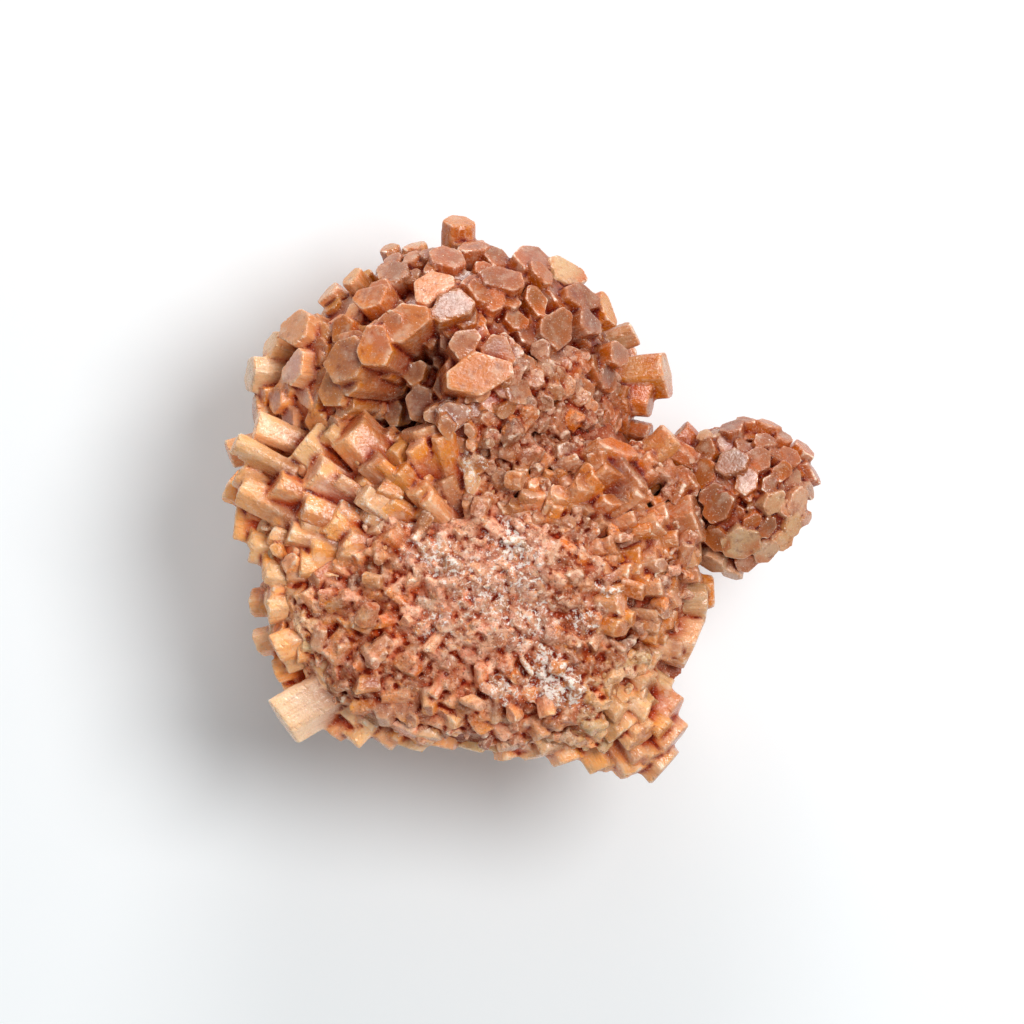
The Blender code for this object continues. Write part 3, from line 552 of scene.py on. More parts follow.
def saddleSeeds(dice):
    # The jumble of small crystals where the crown runs down to the star.
    heart = sprays["crown"][0]
    seeds = []
    count = int(saddle["halfAxes"][0] * saddle["halfAxes"][1] * math.pi / (packing * saddle["spacing"] ** 2))
    for index in range(count):
        out = math.sqrt((index + 0.5) / count)
        angle = goldenAngle * index
        x = saddle["middle"][0] + saddle["halfAxes"][0] * out * math.cos(angle)
        y = saddle["middle"][1] + saddle["halfAxes"][1] * out * math.sin(angle)
        x += dice.gauss(0, saddle["scatter"])
        y += dice.gauss(0, saddle["scatter"])
        if not inOutline(x, y):
            continue
        far = saddle["reach"] + dice.uniform(*saddle["proud"])
        rise = far ** 2 - (x - heart.x) ** 2 - (y - heart.y) ** 2
        if rise < saddle["least"]:
            continue
        tip = Vector((x, y, heart.z + math.sqrt(rise)))
        width = saddle["spacing"] * dice.uniform(*saddle["width"])
        depth = dice.uniform(*saddle["depth"])
        seeds.append(crystalSeed(tip, tip - heart, width, depth, zoneTint(x, y, dice), dice,
                                 saddle["lean"], saddle["grit"]))
    return seeds


# Crystal shapes, each one unit wide, with its end at the origin and its root one unit below.
crystalShapes = {
    "prism": {"kinds": 16, "uneven": 0.23, "turn": 0.05, "cut": (0.02, 0.08), "flat": (0.74, 1.0),
              "bevel": 0.018, "inset": 0.97, "tilt": 0.13, "ragged": 0.0, "wobble": 0.015},
    "broken": {"kinds": 10, "uneven": 0.18, "turn": 0.06, "cut": None, "flat": (0.68, 1.0),
               "bevel": 0.05, "inset": 0.90, "tilt": 0.35, "ragged": 0.06, "wobble": 0.04},
    "lump": {"kinds": 12, "uneven": 0.22, "turn": 0.07, "cut": None, "flat": (0.65, 1.0),
             "bevel": 0.04, "inset": 0.92, "tilt": 0.42, "ragged": 0.07, "wobble": 0.06},
}


def hexagon(shape, dice):
    # Six straight sides at their own distances from the middle, and their corners.
    turns = [math.tau * side / 6 + dice.gauss(0, shape["turn"]) for side in range(6)]
    distances = [0.5 * (1 + dice.uniform(-shape["uneven"], shape["uneven"])) for _ in range(6)]
    flat = dice.uniform(*shape["flat"])
    corners = []
    for side in range(6):
        a, b = turns[side], turns[(side + 1) % 6]
        da, db = distances[side], distances[(side + 1) % 6]
        across = math.sin(b - a)
        corners.append(Vector(((da * math.sin(b) - db * math.sin(a)) / across,
                               (db * math.cos(a) - da * math.cos(b)) / across * flat)))
    if shape["cut"] is None:
        return corners
    chamfered = []
    for side in range(6):
        cut = dice.uniform(*shape["cut"])
        corner, before, after = corners[side], corners[side - 1], corners[(side + 1) % 6]
        chamfered += [corner.lerp(before, cut), corner.lerp(after, cut)]
    return chamfered


def crystalKind(name, shape, dice):
    corners = hexagon(shape, dice)
    slope = Vector((dice.uniform(-shape["tilt"], shape["tilt"]), dice.uniform(-shape["tilt"], shape["tilt"])))
    levels = ((0.0, shape["inset"]), (-shape["bevel"], 1.0), (-0.5, dice.uniform(0.97, 1.03)), (-1.0, 0.86))
    body = bmesh.new()
    cap = body.faces.layers.float.new("cap")
    root = body.verts.layers.float.new("root")
    rings = []
    for level, (z, share) in enumerate(levels):
        ring = []
        for corner in corners:
            wobble = dice.uniform(-1, 1) * shape["wobble"] if level < 3 else 0.0
            ragged = dice.uniform(-1, 1) * shape["ragged"] if level < 2 else 0.0
            x, y = corner.x * (share + wobble), corner.y * (share + wobble)
            tilt = x * slope.x + y * slope.y if level < 2 else 0.0
            vert = body.verts.new((x, y, z + tilt + ragged))
            vert[root] = 1.0 if level == 3 else 0.0
            ring.append(vert)
        rings.append(ring)
    count = len(corners)
    if shape["ragged"]:  # a broken end has its own high or low point
        high = dice.uniform(-1, 1.2) * shape["ragged"]
        peak = body.verts.new((dice.gauss(0, 0.1), dice.gauss(0, 0.1), high))
        for side in range(count):
            body.faces.new((rings[0][side], rings[0][(side + 1) % count], peak))[cap] = 1.0
    else:
        body.faces.new(rings[0])[cap] = 1.0
    body.faces.new(list(reversed(rings[-1])))
    for level in range(len(rings) - 1):
        for side in range(count):
            after = (side + 1) % count
            face = body.faces.new((rings[level][after], rings[level][side],
                                   rings[level + 1][side], rings[level + 1][after]))
            face[cap] = 0.5 if level == 0 else 0.0
    bmesh.ops.recalc_face_normals(body, faces=body.faces)
    mesh = bpy.data.meshes.new(name)
    body.to_mesh(mesh)
    body.free()
    return bpy.data.objects.new(name, mesh)


def helperGroup(name, items):
    group = bpy.data.collections.new(name)
    bpy.context.scene.collection.children.link(group)
    for item in items:
        group.objects.link(item)
    return group


coreLook = {
    "lumpScale": 5.0, "lump": 0.07, "grit": 0.8,
    "shoulder": 2.2,  # how soon the star's rises to its face
}
cores = {  # solid hearts under the crystals: centre and half-axes
    "crownCore": (sprays["crown"][0], sprays["crown"][1] * 0.55),
    "sideCore": (Vector((-7.0, 10.5, 14.0)), Vector((13.3, 10.1, 11.0))),
    "starCore": (Vector((-2.0, -9.0, 24.0)), Vector((18.0, 13.5, 5.5))),
    "bundleCore": (Vector((-1.0, -9.0, 26.0)), Vector((15.0, 11.5, 4.0))),
    "saddleCore": (Vector((1.0, 3.0, 20.0)), Vector((10.5, 10.5, 11.0))),
    "rubbleCore": (Vector((-3.4, -10.5, 25.0)), Vector((21.5, 14.6, 5.0))),
    "footCore": (sprays["foot"][0], sprays["foot"][1] * 0.75),
    "budCore": (sprays["bud"][0], sprays["bud"][1] * 0.8),
    "neckCore": (Vector((15.4, -0.6, 22.0)), Vector((5.0, 7.0, 6.0))),
}


def core(name, underFace=False):
    # The solid heart of a spray, lumpy so that no smooth ball shows in a gap. The star's follows its face.
    centre, reach = cores[name]
    body = bmesh.new()
    bmesh.ops.create_icosphere(body, subdivisions=5 if underFace else 4, radius=1.0)
    for vert in body.verts:
        up = vert.co.z
        lump = noise.noise(vert.co * coreLook["lumpScale"] + centre) * coreLook["lump"]
        vert.co = Vector([centre[k] + reach[k] * vert.co[k] * (1 + lump) for k in range(3)])
        if underFace and up > 0:
            top = faceHeight(vert.co.x, vert.co.y) - starFace["crust"]
            vert.co.z = centre.z + (top - centre.z) * min(1.0, coreLook["shoulder"] * up)
    bmesh.ops.scale(body, vec=(mm, mm, mm), verts=body.verts)
    mesh = bpy.data.meshes.new(name)
    body.to_mesh(mesh)
    body.free()
    gritty = mesh.attributes.new("grit", "FLOAT", "FACE")
    gritty.data.foreach_set("value", [coreLook["grit"]] * len(mesh.polygons))
    return bpy.data.objects.new(name, mesh)


def socketId(tree, name):
    for item in tree.interface.items_tree:
        if item.item_type == "SOCKET" and item.in_out == "INPUT" and item.name == name:
            return item.identifier


seedLooks = (("axis", "FLOAT_VECTOR"), ("tip", "FLOAT_VECTOR"), ("tint", "FLOAT_VECTOR"),
             ("tone", "FLOAT"), ("width", "FLOAT"), ("frost", "FLOAT"), ("grit", "FLOAT"))

growth = {  # lengths are metres
    "lumpScale": 1100.0, "lumpHeight": 0.00042, "lumpMiddle": 0.52,
    "pitScale": 2600.0, "pitHeight": 0.0002, "pitMiddle": 0.5,
    "calm": 0.04,  # the share of the lumps and pits that clean faces get
    "chipScale": 1300.0, "chip": 0.6,  # how much a sharp edge is worn
    "ridgeSteps": 3, "hollowSteps": 50, "glowSteps": 6, "glowReach": 0.012, "glowStart": 0.0002,
}


def growthTree():
    # Seeds in, one closed crust of crystals grown together out.
    tree = bpy.data.node_groups.new("growCrystals", "GeometryNodeTree")
    sockets = (("Geometry", "Geometry"), ("Shapes", "Collection"), ("Shape Count", "Int"),
               ("Hearts", "Collection"), ("Seed", "Int"), ("Grain", "Float"), ("Thinning", "Float"),
               ("Material", "Material"))
    for name, kind in sockets:
        tree.interface.new_socket(name=name, in_out="INPUT", socket_type="NodeSocket" + kind)
    tree.interface.new_socket(name="Geometry", in_out="OUTPUT", socket_type="NodeSocketGeometry")
    nodes, link = tree.nodes, tree.links.new
    entry = nodes.new("NodeGroupInput")
    leave = nodes.new("NodeGroupOutput")

    def put(value, target):
        if isinstance(value, bpy.types.NodeSocket):
            link(value, target)
        else:
            target.default_value = value

    def typed(sockets, name, kind):
        # The one of a node's like-named sockets that has the wanted type.
        wanted = {"FLOAT": "VALUE", "FLOAT_VECTOR": "VECTOR", "INT": "INT"}[kind]
        return [socket for socket in sockets if socket.name == name and socket.type == wanted][0]

    def attribute(name, kind):
        node = nodes.new("GeometryNodeInputNamedAttribute")
        node.data_type = kind
        node.inputs["Name"].default_value = name
        return node.outputs["Attribute"]

    def stored(geometry, name, kind, value, domain="POINT"):
        node = nodes.new("GeometryNodeStoreNamedAttribute")
        node.data_type = kind
        node.domain = domain
        node.inputs["Name"].default_value = name
        link(geometry, node.inputs["Geometry"])
        link(value, node.inputs["Value"])
        return node.outputs["Geometry"]

    def randomValue(kind, low, high, seedStep):
        node = nodes.new("FunctionNodeRandomValue")
        node.data_type = kind
        put(low, typed(node.inputs, "Min", kind))
        put(high, typed(node.inputs, "Max", kind))
        put(number("ADD", entry.outputs["Seed"], seedStep), node.inputs["Seed"])
        return typed(node.outputs, "Value", kind)

    def number(operation, *values):
        node = nodes.new("ShaderNodeMath")
        node.operation = operation
        for index, value in enumerate(values):
            put(value, node.inputs[index])
        return node.outputs["Value"]

    def vector(operation, *values, output="Vector"):
        node = nodes.new("ShaderNodeVectorMath")
        node.operation = operation
        for index, value in enumerate(values):
            put(value, node.inputs["Scale"] if operation == "SCALE" and index == 1 else node.inputs[index])
        return node.outputs[output]

    def cloudy(scale, detail):
        node = nodes.new("ShaderNodeTexNoise")
        node.inputs["Scale"].default_value = scale
        node.inputs["Detail"].default_value = detail
        link(position, node.inputs["Vector"])
        return node.outputs["Fac"]

    def nearest(mesh, name, kind):
        node = nodes.new("GeometryNodeSampleNearestSurface")
        node.data_type = kind
        link(mesh, node.inputs["Mesh"])
        link(attribute(name, kind), node.inputs["Value"])
        return node.outputs["Value"]

    def blurred(value, kind, steps):
        node = nodes.new("GeometryNodeBlurAttribute")
        node.data_type = kind
        put(value, typed(node.inputs, "Value", kind))
        node.inputs["Iterations"].default_value = steps
        return typed(node.outputs, "Value", kind)

    def standingOut(steps):
        # How far the surface stands out from its own surroundings.
        around = blurred(position, "FLOAT_VECTOR", steps)
        return vector("DOT_PRODUCT", vector("SUBTRACT", position, around), normal, output="Value")

    def skin(mesh, thinning):
        # The outer surface of a mesh, made anew from cells of one size.
        field = nodes.new("GeometryNodeMeshToSDFGrid")
        link(mesh, field.inputs["Mesh"])
        link(entry.outputs["Grain"], field.inputs["Voxel Size"])
        surface = nodes.new("GeometryNodeGridToMesh")
        link(field.outputs["SDF Grid"], surface.inputs["Grid"])
        surface.inputs["Threshold"].default_value = 0.0
        put(thinning, surface.inputs["Adaptivity"])
        return surface.outputs["Mesh"]

    position = nodes.new("GeometryNodeInputPosition").outputs["Position"]
    normal = nodes.new("GeometryNodeInputNormal").outputs["Normal"]

    shapes = nodes.new("GeometryNodeCollectionInfo")
    shapes.inputs["Separate Children"].default_value = True
    link(entry.outputs["Shapes"], shapes.inputs["Collection"])
    align = nodes.new("FunctionNodeAlignRotationToVector")
    align.axis = "Z"
    link(attribute("axis", "FLOAT_VECTOR"), align.inputs["Vector"])
    turn = nodes.new("FunctionNodeAxisAngleToRotation")
    turn.inputs["Axis"].default_value = (0, 0, 1)
    link(randomValue("FLOAT", 0.0, math.tau, 1), turn.inputs["Angle"])
    spin = nodes.new("FunctionNodeRotateRotation")
    spin.rotation_space = "LOCAL"
    link(align.outputs["Rotation"], spin.inputs["Rotation"])
    link(turn.outputs["Rotation"], spin.inputs["Rotate By"])
    scale = nodes.new("ShaderNodeCombineXYZ")
    for axis in range(3):
        link(attribute("width", "FLOAT"), scale.inputs[axis])

    place = nodes.new("GeometryNodeInstanceOnPoints")
    place.inputs["Pick Instance"].default_value = True
    link(entry.outputs["Geometry"], place.inputs["Points"])
    link(shapes.outputs[0], place.inputs["Instance"])
    lastShape = number("SUBTRACT", entry.outputs["Shape Count"], 1.0)
    link(randomValue("INT", 0, lastShape, 0), place.inputs["Instance Index"])
    link(spin.outputs["Rotation"], place.inputs["Rotation"])
    link(scale.outputs["Vector"], place.inputs["Scale"])
    real = nodes.new("GeometryNodeRealizeInstances")
    link(place.outputs["Instances"], real.inputs["Geometry"])

    deepen = nodes.new("GeometryNodeSetPosition")  # roots go down to their own depth
    link(real.outputs["Geometry"], deepen.inputs["Geometry"])
    link(attribute("root", "FLOAT"), deepen.inputs["Selection"])
    back = number("SUBTRACT", attribute("width", "FLOAT"), attribute("depth", "FLOAT"))
    link(vector("SCALE", attribute("axis", "FLOAT_VECTOR"), back), deepen.inputs["Offset"])

    geometry = deepen.outputs["Geometry"]
    for name, kind in seedLooks:  # kept on faces, so that neighbours don't blend
        geometry = stored(geometry, name, kind, attribute(name, kind), "FACE")
    hearts = nodes.new("GeometryNodeCollectionInfo")
    link(entry.outputs["Hearts"], hearts.inputs["Collection"])
    solidHearts = nodes.new("GeometryNodeRealizeInstances")
    link(hearts.outputs[0], solidHearts.inputs["Geometry"])
    together = nodes.new("GeometryNodeJoinGeometry")
    link(solidHearts.outputs["Geometry"], together.inputs["Geometry"])
    link(geometry, together.inputs["Geometry"])
    joined = together.outputs["Geometry"]

    # All together get one fine skin, which is then worn: lumps and pits where there is grit, chipped edges.
    looks = seedLooks + (("cap", "FLOAT"),)
    fine = skin(joined, 0.0)
    for name, kind in looks:
        fine = stored(fine, name, kind, nearest(joined, name, kind))
    rough = number("ADD", growth["calm"], number("POWER", attribute("grit", "FLOAT"), 2.0))
    lumpy = number("SUBTRACT", cloudy(growth["lumpScale"], 4.0), growth["lumpMiddle"])
    lumps = number("MULTIPLY", lumpy, growth["lumpHeight"])
    pitted = number("SUBTRACT", cloudy(growth["pitScale"], 2.0), growth["pitMiddle"])
    pits = number("MULTIPLY", pitted, growth["pitHeight"])
    worn = number("MULTIPLY", number("ADD", lumps, pits), rough)
    sharp = number("MAXIMUM", standingOut(growth["ridgeSteps"]), 0.0)
    chip = number("MULTIPLY", sharp, number("MULTIPLY", cloudy(growth["chipScale"], 2.0), growth["chip"]))
    wear = nodes.new("GeometryNodeSetPosition")
    link(fine, wear.inputs["Geometry"])
    link(vector("SCALE", normal, number("SUBTRACT", worn, chip)), wear.inputs["Offset"])
    fine = wear.outputs["Geometry"]

    # What the material reads of the shape: edges, hollows, and how thick the stone is under each point,
    # from which it paints glow, shade and edge highlights.
    cell = number("DIVIDE", 1.0, entry.outputs["Grain"])
    fine = stored(fine, "ridge", "FLOAT", number("MULTIPLY", standingOut(growth["ridgeSteps"]), cell))
    fine = stored(fine, "hollow", "FLOAT", number("MULTIPLY", standingOut(growth["hollowSteps"]), -1000.0))
    ray = nodes.new("GeometryNodeRaycast")
    link(fine, ray.inputs["Target Geometry"])
    start = vector("SUBTRACT", position, vector("SCALE", normal, growth["glowStart"]))
    link(start, ray.inputs["Source Position"])
    link(vector("SCALE", normal, -1.0), ray.inputs["Ray Direction"])
    ray.inputs["Ray Length"].default_value = growth["glowReach"]
    through = blurred(ray.outputs["Hit Distance"], "FLOAT", growth["glowSteps"])
    fine = stored(fine, "thick", "FLOAT", through)

    final = skin(fine, entry.outputs["Thinning"])
    for name, kind in looks + (("ridge", "FLOAT"), ("hollow", "FLOAT"), ("thick", "FLOAT")):
        final = stored(final, name, kind, nearest(fine, name, kind))
    island = nodes.new("GeometryNodeInputMeshIsland")
    final = stored(final, "island", "INT", island.outputs["Island Index"], "FACE")
    plain = nodes.new("GeometryNodeRealizeInstances")
    link(final, plain.inputs["Geometry"])
    finish = nodes.new("GeometryNodeSetMaterial")
    link(plain.outputs["Geometry"], finish.inputs["Geometry"])
    link(entry.outputs["Material"], finish.inputs["Material"])
    link(finish.outputs["Geometry"], leave.inputs["Geometry"])
    return tree


def grown(name, seeds, hearts, shapes, seed, grain, thinning):
    # A piece of the cluster: its seeds as points, grown by the tree and made a plain mesh.
    shift = Vector(cluster["shift"])
    tips = [(item["tip"] + shift) * mm for item in seeds]
    mesh = bpy.data.meshes.new(name + "Seeds")
    mesh.from_pydata(tips, [], [])
    for key, kind in seedLooks + (("depth", "FLOAT"),):
        layer = mesh.attributes.new(key, kind, "POINT")
        if kind == "FLOAT_VECTOR":
            rows = tips if key == "tip" else [item[key] for item in seeds]
            layer.data.foreach_set("vector", [value for row in rows for value in row])
        else:
            size = mm if key in ("width", "depth") else 1.0
            layer.data.foreach_set("value", [item[key] * size for item in seeds])
    source = bpy.data.objects.new(name + "Seeds", mesh)
    bpy.context.scene.collection.objects.link(source)
    for item in hearts:
        item.data.transform(Matrix.Translation(shift * mm))
    heartGroup = helperGroup(name + "Hearts", hearts)
    modifier = source.modifiers.new("grow", "NODES")
    modifier.node_group = tree
    for key, value in (("Shapes", shapes), ("Shape Count", len(shapes.objects)), ("Hearts", heartGroup),
                       ("Seed", seed), ("Grain", grain * mm), ("Thinning", thinning), ("Material", stone)):
        modifier[socketId(tree, key)] = value
    bpy.context.view_layer.update()
    graph = bpy.context.evaluated_depsgraph_get()
    crust = bpy.data.meshes.new_from_object(source.evaluated_get(graph))
    source.modifiers.clear()
    for item in [source, *hearts]:
        bpy.data.objects.remove(item)
    bpy.data.collections.remove(heartGroup)
    crust.name = name
    cleaned(crust)
    piece = bpy.data.objects.new(name, crust)
    bpy.context.scene.collection.objects.link(piece)
    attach(piece, "root")
    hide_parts(cluster["node"])
    print(name, len(seeds), "crystals,", sum(len(face.vertices) - 2 for face in crust.polygons), "triangles")


def cleaned(mesh):
    # Closed hollows between roots, and scraps that touch nothing, are taken out. Nothing is below the table.
    body = bmesh.new()
    body.from_mesh(mesh)
    island = body.faces.layers.int["island"]
    sizes = {}
    for face in body.faces:
        sizes[face[island]] = sizes.get(face[island], 0) + 1
    biggest = max(sizes, key=sizes.get)
    scraps = [face for face in body.faces if face[island] != biggest]
    bmesh.ops.delete(body, geom=scraps, context="FACES")
    for vert in body.verts:
        vert.co.z = max(vert.co.z, 0.0)
    body.to_mesh(mesh)
    body.free()
    mesh.attributes.remove(mesh.attributes["island"])


aragonite = {  # colours are sRGB, lengths are metres
    # Painted light: the glow, ember and rim colours, and the spark white of glints and sparkle, also used for
    # dust. Painted shade: the hollow and crease colours, and the deep red where it darkens roots; the deep
    # red also colours stains and streaks.
    "glow": (244, 164, 96), "deep": (140, 56, 26), "paintedHollowShade": (206, 116, 64), "paintedCreaseShade": (166, 78, 42),
    "capMauve": (174, 111, 77),
    "ember": (204, 104, 52), "rimLight": (252, 196, 138), "rimEmber": (226, 146, 98),
    "cream": (250, 228, 204), "dirt": (112, 50, 28), "powder": (252, 238, 226), "spark": (255, 240, 224),
    "grainPale": (246, 200, 168), "grainRust": (160, 78, 42),
    # Depths of the painted glow near the end, and of the painted shade towards the root.
    "glowDepth": 0.0032, "rootShadeFrom": 0.0012, "rootShadeTo": 0.0060,
    "thin": 0.0020, "thickest": 0.0065,
    # Painted side light: its direction, the range of value and the range of saturation.
    "paintedLightTowards": (-0.64, -0.77, 0.0), "paintedSideLight": (0.575, 1.26), "paintedSideSaturation": (1.09, 1.04),
    "ridge": (0.15, 0.27), "crease": (-0.10, -0.26),  # in cells of the skin
    "hollow": (-0.02, 0.24), "bulge": (-0.08, -0.36),  # in millimetres
    "roughness": 0.20, "roughLess": 0.12, "roughMore": 0.14,
    "subsurface": 0.17, "subsurfaceScale": 0.0009, "subsurfaceRadius": (1.0, 0.42, 0.2), "ior": 1.6,
    "relief": 0.5, "reliefDepth": 0.0002,
    "streaks": 2700, "clouds": 380, "blots": 1000, "specks": 3400, "dustAndSparkle": 6400,  # how fine the noises are
    "grains": 2300, "grainBend": 2600, "milk": 620, "glints": 2700, "glintPatches": 900, "flakes": 1900,
}


def aragoniteMaterial(look):
    material = bpy.data.materials.new("aragonite")
    material.use_nodes = True
    nodes, link = material.node_tree.nodes, material.node_tree.links.new
    shader = nodes["Principled BSDF"]

    def attribute(key, output="Vector"):
        node = nodes.new("ShaderNodeAttribute")
        node.attribute_type = "GEOMETRY"
        node.attribute_name = key
        return node.outputs[output]

    def put(value, target):
        if isinstance(value, bpy.types.NodeSocket):
            link(value, target)
        else:
            target.default_value = value

    def number(operation, *values, clamp=False):
        node = nodes.new("ShaderNodeMath")
        node.operation = operation
        node.use_clamp = clamp
        for index, value in enumerate(values):
            put(value, node.inputs[index])
        return node.outputs["Value"]

    def vector(operation, *values, output="Vector"):
        node = nodes.new("ShaderNodeVectorMath")
        node.operation = operation
        for index, value in enumerate(values):
            put(value, node.inputs["Scale"] if operation == "SCALE" and index == 1 else node.inputs[index])
        return node.outputs[output]

    def remap(value, low, high, toLow=0.0, toHigh=1.0):
        node = nodes.new("ShaderNodeMapRange")
        put(value, node.inputs["Value"])
        for key, setting in (("From Min", low), ("From Max", high), ("To Min", toLow), ("To Max", toHigh)):
            node.inputs[key].default_value = setting
        return node.outputs["Result"]

    def mixed(amount, first, second):
        node = nodes.new("ShaderNodeMix")
        node.data_type = "RGBA"
        put(amount, node.inputs["Factor"])
        for key, value in ((6, first), (7, second)):
            if isinstance(value, str):
                node.inputs[key].default_value = (*srgb(*look[value]), 1)
            else:
                link(value, node.inputs[key])
        return node.outputs[2]

    def multiplied(amount, colour, by):
        node = nodes.new("ShaderNodeMix")
        node.data_type, node.blend_type = "RGBA", "MULTIPLY"
        link(amount, node.inputs["Factor"])
        link(colour, node.inputs[6])
        node.inputs[7].default_value = (*srgb(*look[by]), 1)
        return node.outputs[2]

    def cloudy(coordinates, scale, detail=3.0, roughness=0.55):
        node = nodes.new("ShaderNodeTexNoise")
        node.inputs["Scale"].default_value = scale
        node.inputs["Detail"].default_value = detail
        node.inputs["Roughness"].default_value = roughness
        put(coordinates, node.inputs["Vector"])
        return node.outputs["Fac"]

    def noiseVector(coordinates, scale):
        node = nodes.new("ShaderNodeTexNoise")
        node.inputs["Scale"].default_value = scale
        link(coordinates, node.inputs["Vector"])
        return node.outputs["Color"]

    here = nodes.new("ShaderNodeTexCoord").outputs["Object"]
    axis, tip, tint = attribute("axis"), attribute("tip"), attribute("tint")
    tone, cap = attribute("tone", "Fac"), attribute("cap", "Fac")
    frost, grit = attribute("frost", "Fac"), attribute("grit", "Fac")
    ridge, hollow, thick = attribute("ridge", "Fac"), attribute("hollow", "Fac"), attribute("thick", "Fac")
    below = vector("SUBTRACT", tip, here)
    depth = vector("DOT_PRODUCT", below, axis, output="Value")
    inCore = number("LESS_THAN", attribute("width", "Fac"), 0.0001)
    along = vector("SCALE", axis, depth)
    across = vector("SUBTRACT", below, along)

    # Streaks run along each crystal; clouds, specks and grains are in the stone all through.
    ownPlace = vector("ADD", vector("ADD", across, vector("SCALE", axis, number("MULTIPLY", depth, 0.2))),
                      vector("SCALE", (7.3, 3.1, 5.7), tone))
    streaks = cloudy(ownPlace, look["streaks"], 3.0, 0.6)
    clouds = cloudy(here, look["clouds"], 3.0, 0.6)
    blots = cloudy(here, look["blots"], 3.0, 0.6)
    specks = cloudy(here, look["specks"], 2.0, 0.65)
    dustAndSparkle = cloudy(here, look["dustAndSparkle"], 2.0, 0.6)
    grains = nodes.new("ShaderNodeTexVoronoi")
    grains.inputs["Scale"].default_value = look["grains"]
    bend = vector("SCALE", noiseVector(here, look["grainBend"]), 0.0003)
    link(vector("ADD", here, bend), grains.inputs["Vector"])
    grainShade = vector("DOT_PRODUCT", grains.outputs["Color"], (0.5, 0.3, 0.2), output="Value")

    # Painted light: a crystal's sides get a painted glow near its end and where it is thin, golden at
    # the lower left of the stone and orange at the upper right, and painted shade, dark red, towards the
    # root.
    towards = vector("DOT_PRODUCT", here, look["paintedLightTowards"], output="Value")
    paintedSideRedder = remap(towards, -0.014, 0.010, 1.0, 0.0)
    glow = mixed(paintedSideRedder, "glow", "ember")
    # The colour of the painted rim light, golden at the lower left and orange at the upper right.
    rimLight = mixed(paintedSideRedder, "rimLight", "rimEmber")
    smooth = remap(grit, 0.3, 0.9, 1.0, 0.15)
    thin = remap(thick, look["thin"], look["thickest"], 0.7, 0.0)
    nearEnd = remap(depth, 0.0, look["glowDepth"], 0.9, 0.0)
    golden = number("MULTIPLY", number("MULTIPLY", number("ADD", thin, nearEnd), smooth),
                    remap(clouds, 0.38, 0.6, 0.3, 1.1), clamp=True)
    parts = nodes.new("ShaderNodeSeparateXYZ")
    link(tint, parts.inputs[0])
    orangeShare = remap(parts.outputs[1], 0.3, 0.6, 1.0, 0.3)  # less on crystals that are pale already
    mauveShare = number("MULTIPLY", orangeShare, remap(parts.outputs[0], 0.5, 0.75, 1.0, 0.35))
    glowing = mixed(number("MULTIPLY", golden, orangeShare), tint, glow)
    # Painted shade: the sides turn dark red with depth below the crystal's end.
    withRootShade = mixed(remap(depth, look["rootShadeFrom"], look["rootShadeTo"], 0.0, 0.7), glowing, "deep")
    milky = mixed(remap(blots, 0.5, 0.7, 0.0, 0.3), withRootShade, "cream")
    paleStreak = mixed(remap(streaks, 0.54, 0.68, 0.0, 0.24), milky, "cream")
    darkStreak = mixed(remap(streaks, 0.46, 0.30, 0.0, 0.28), paleStreak, "deep")

    # Its end looks into the stone, so it is greyer and cloudy, with warm patches.
    capBase = mixed(number("MULTIPLY", remap(clouds, 0.36, 0.64, 0.95, 0.4), mauveShare), tint, "capMauve")
    capWarm = mixed(remap(blots, 0.54, 0.74, 0.0, 0.45), capBase, glow)
    # Painted light: a glow on a side of each cap, mostly its side towards -y, and in patches along its edge.
    ownWidth = number("MAXIMUM", attribute("width", "Fac"), 0.0001)
    fromAxis = number("DIVIDE", vector("LENGTH", across, output="Value"), ownWidth)
    turned = number("MULTIPLY", tone, 29.0)
    lit = nodes.new("ShaderNodeCombineXYZ")  # each crystal glows at a side of its own
    link(number("MULTIPLY", number("SINE", turned), 0.75), lit.inputs[0])
    link(number("ADD", number("MULTIPLY", number("COSINE", turned), 0.5), 0.6), lit.inputs[1])
    towardsLit = vector("DOT_PRODUCT", across, lit.outputs["Vector"], output="Value")
    paintedLitSide = remap(number("DIVIDE", towardsLit, ownWidth), -0.05, 0.42)
    capPaintedSideGlow = mixed(number("MULTIPLY", paintedLitSide, remap(clouds, 0.38, 0.58, 0.25, 1.0)), capWarm, glow)
    capPaintedEdgeGlow = mixed(number("MULTIPLY", remap(fromAxis, 0.36, 0.52), remap(blots, 0.45, 0.6, 0.0, 0.5)),
                     capPaintedSideGlow, glow)
    milk = remap(cloudy(here, look["milk"], 4.0, 0.65), 0.50, 0.68, 0.0, 0.32)
    capMilk = mixed(milk, capPaintedEdgeGlow, "cream")
    capStain = mixed(remap(blots, 0.46, 0.30, 0.0, 0.55), capMilk, "deep")
    body = mixed(remap(cap, 0.35, 0.65), darkStreak, capStain)

    # Tone varies at random, and painted side light makes the stone lighter at the lower left and darker and
    # more saturated at the upper right.
    tonedAndSideLit = nodes.new("ShaderNodeHueSaturation")
    link(body, tonedAndSideLit.inputs["Color"])
    spread = number("MULTIPLY", number("SUBTRACT", tone, 0.5), remap(grit, 0.2, 0.9, 0.34, 0.7))
    paintedSideLight = remap(towards, -0.03, 0.03, *look["paintedSideLight"])
    link(number("MULTIPLY", number("ADD", spread, 1.02), paintedSideLight), tonedAndSideLit.inputs["Value"])
    ownHue = remap(number("FRACT", number("MULTIPLY", tone, 7.0)), 0.0, 1.0, 0.92, 1.08)
    paintedSideSaturation = remap(towards, -0.016, 0.008, *look["paintedSideSaturation"])
    link(number("MULTIPLY", ownHue, paintedSideSaturation), tonedAndSideLit.inputs["Saturation"])
    cored = mixed(inCore, tonedAndSideLit.outputs["Color"], "grainRust")

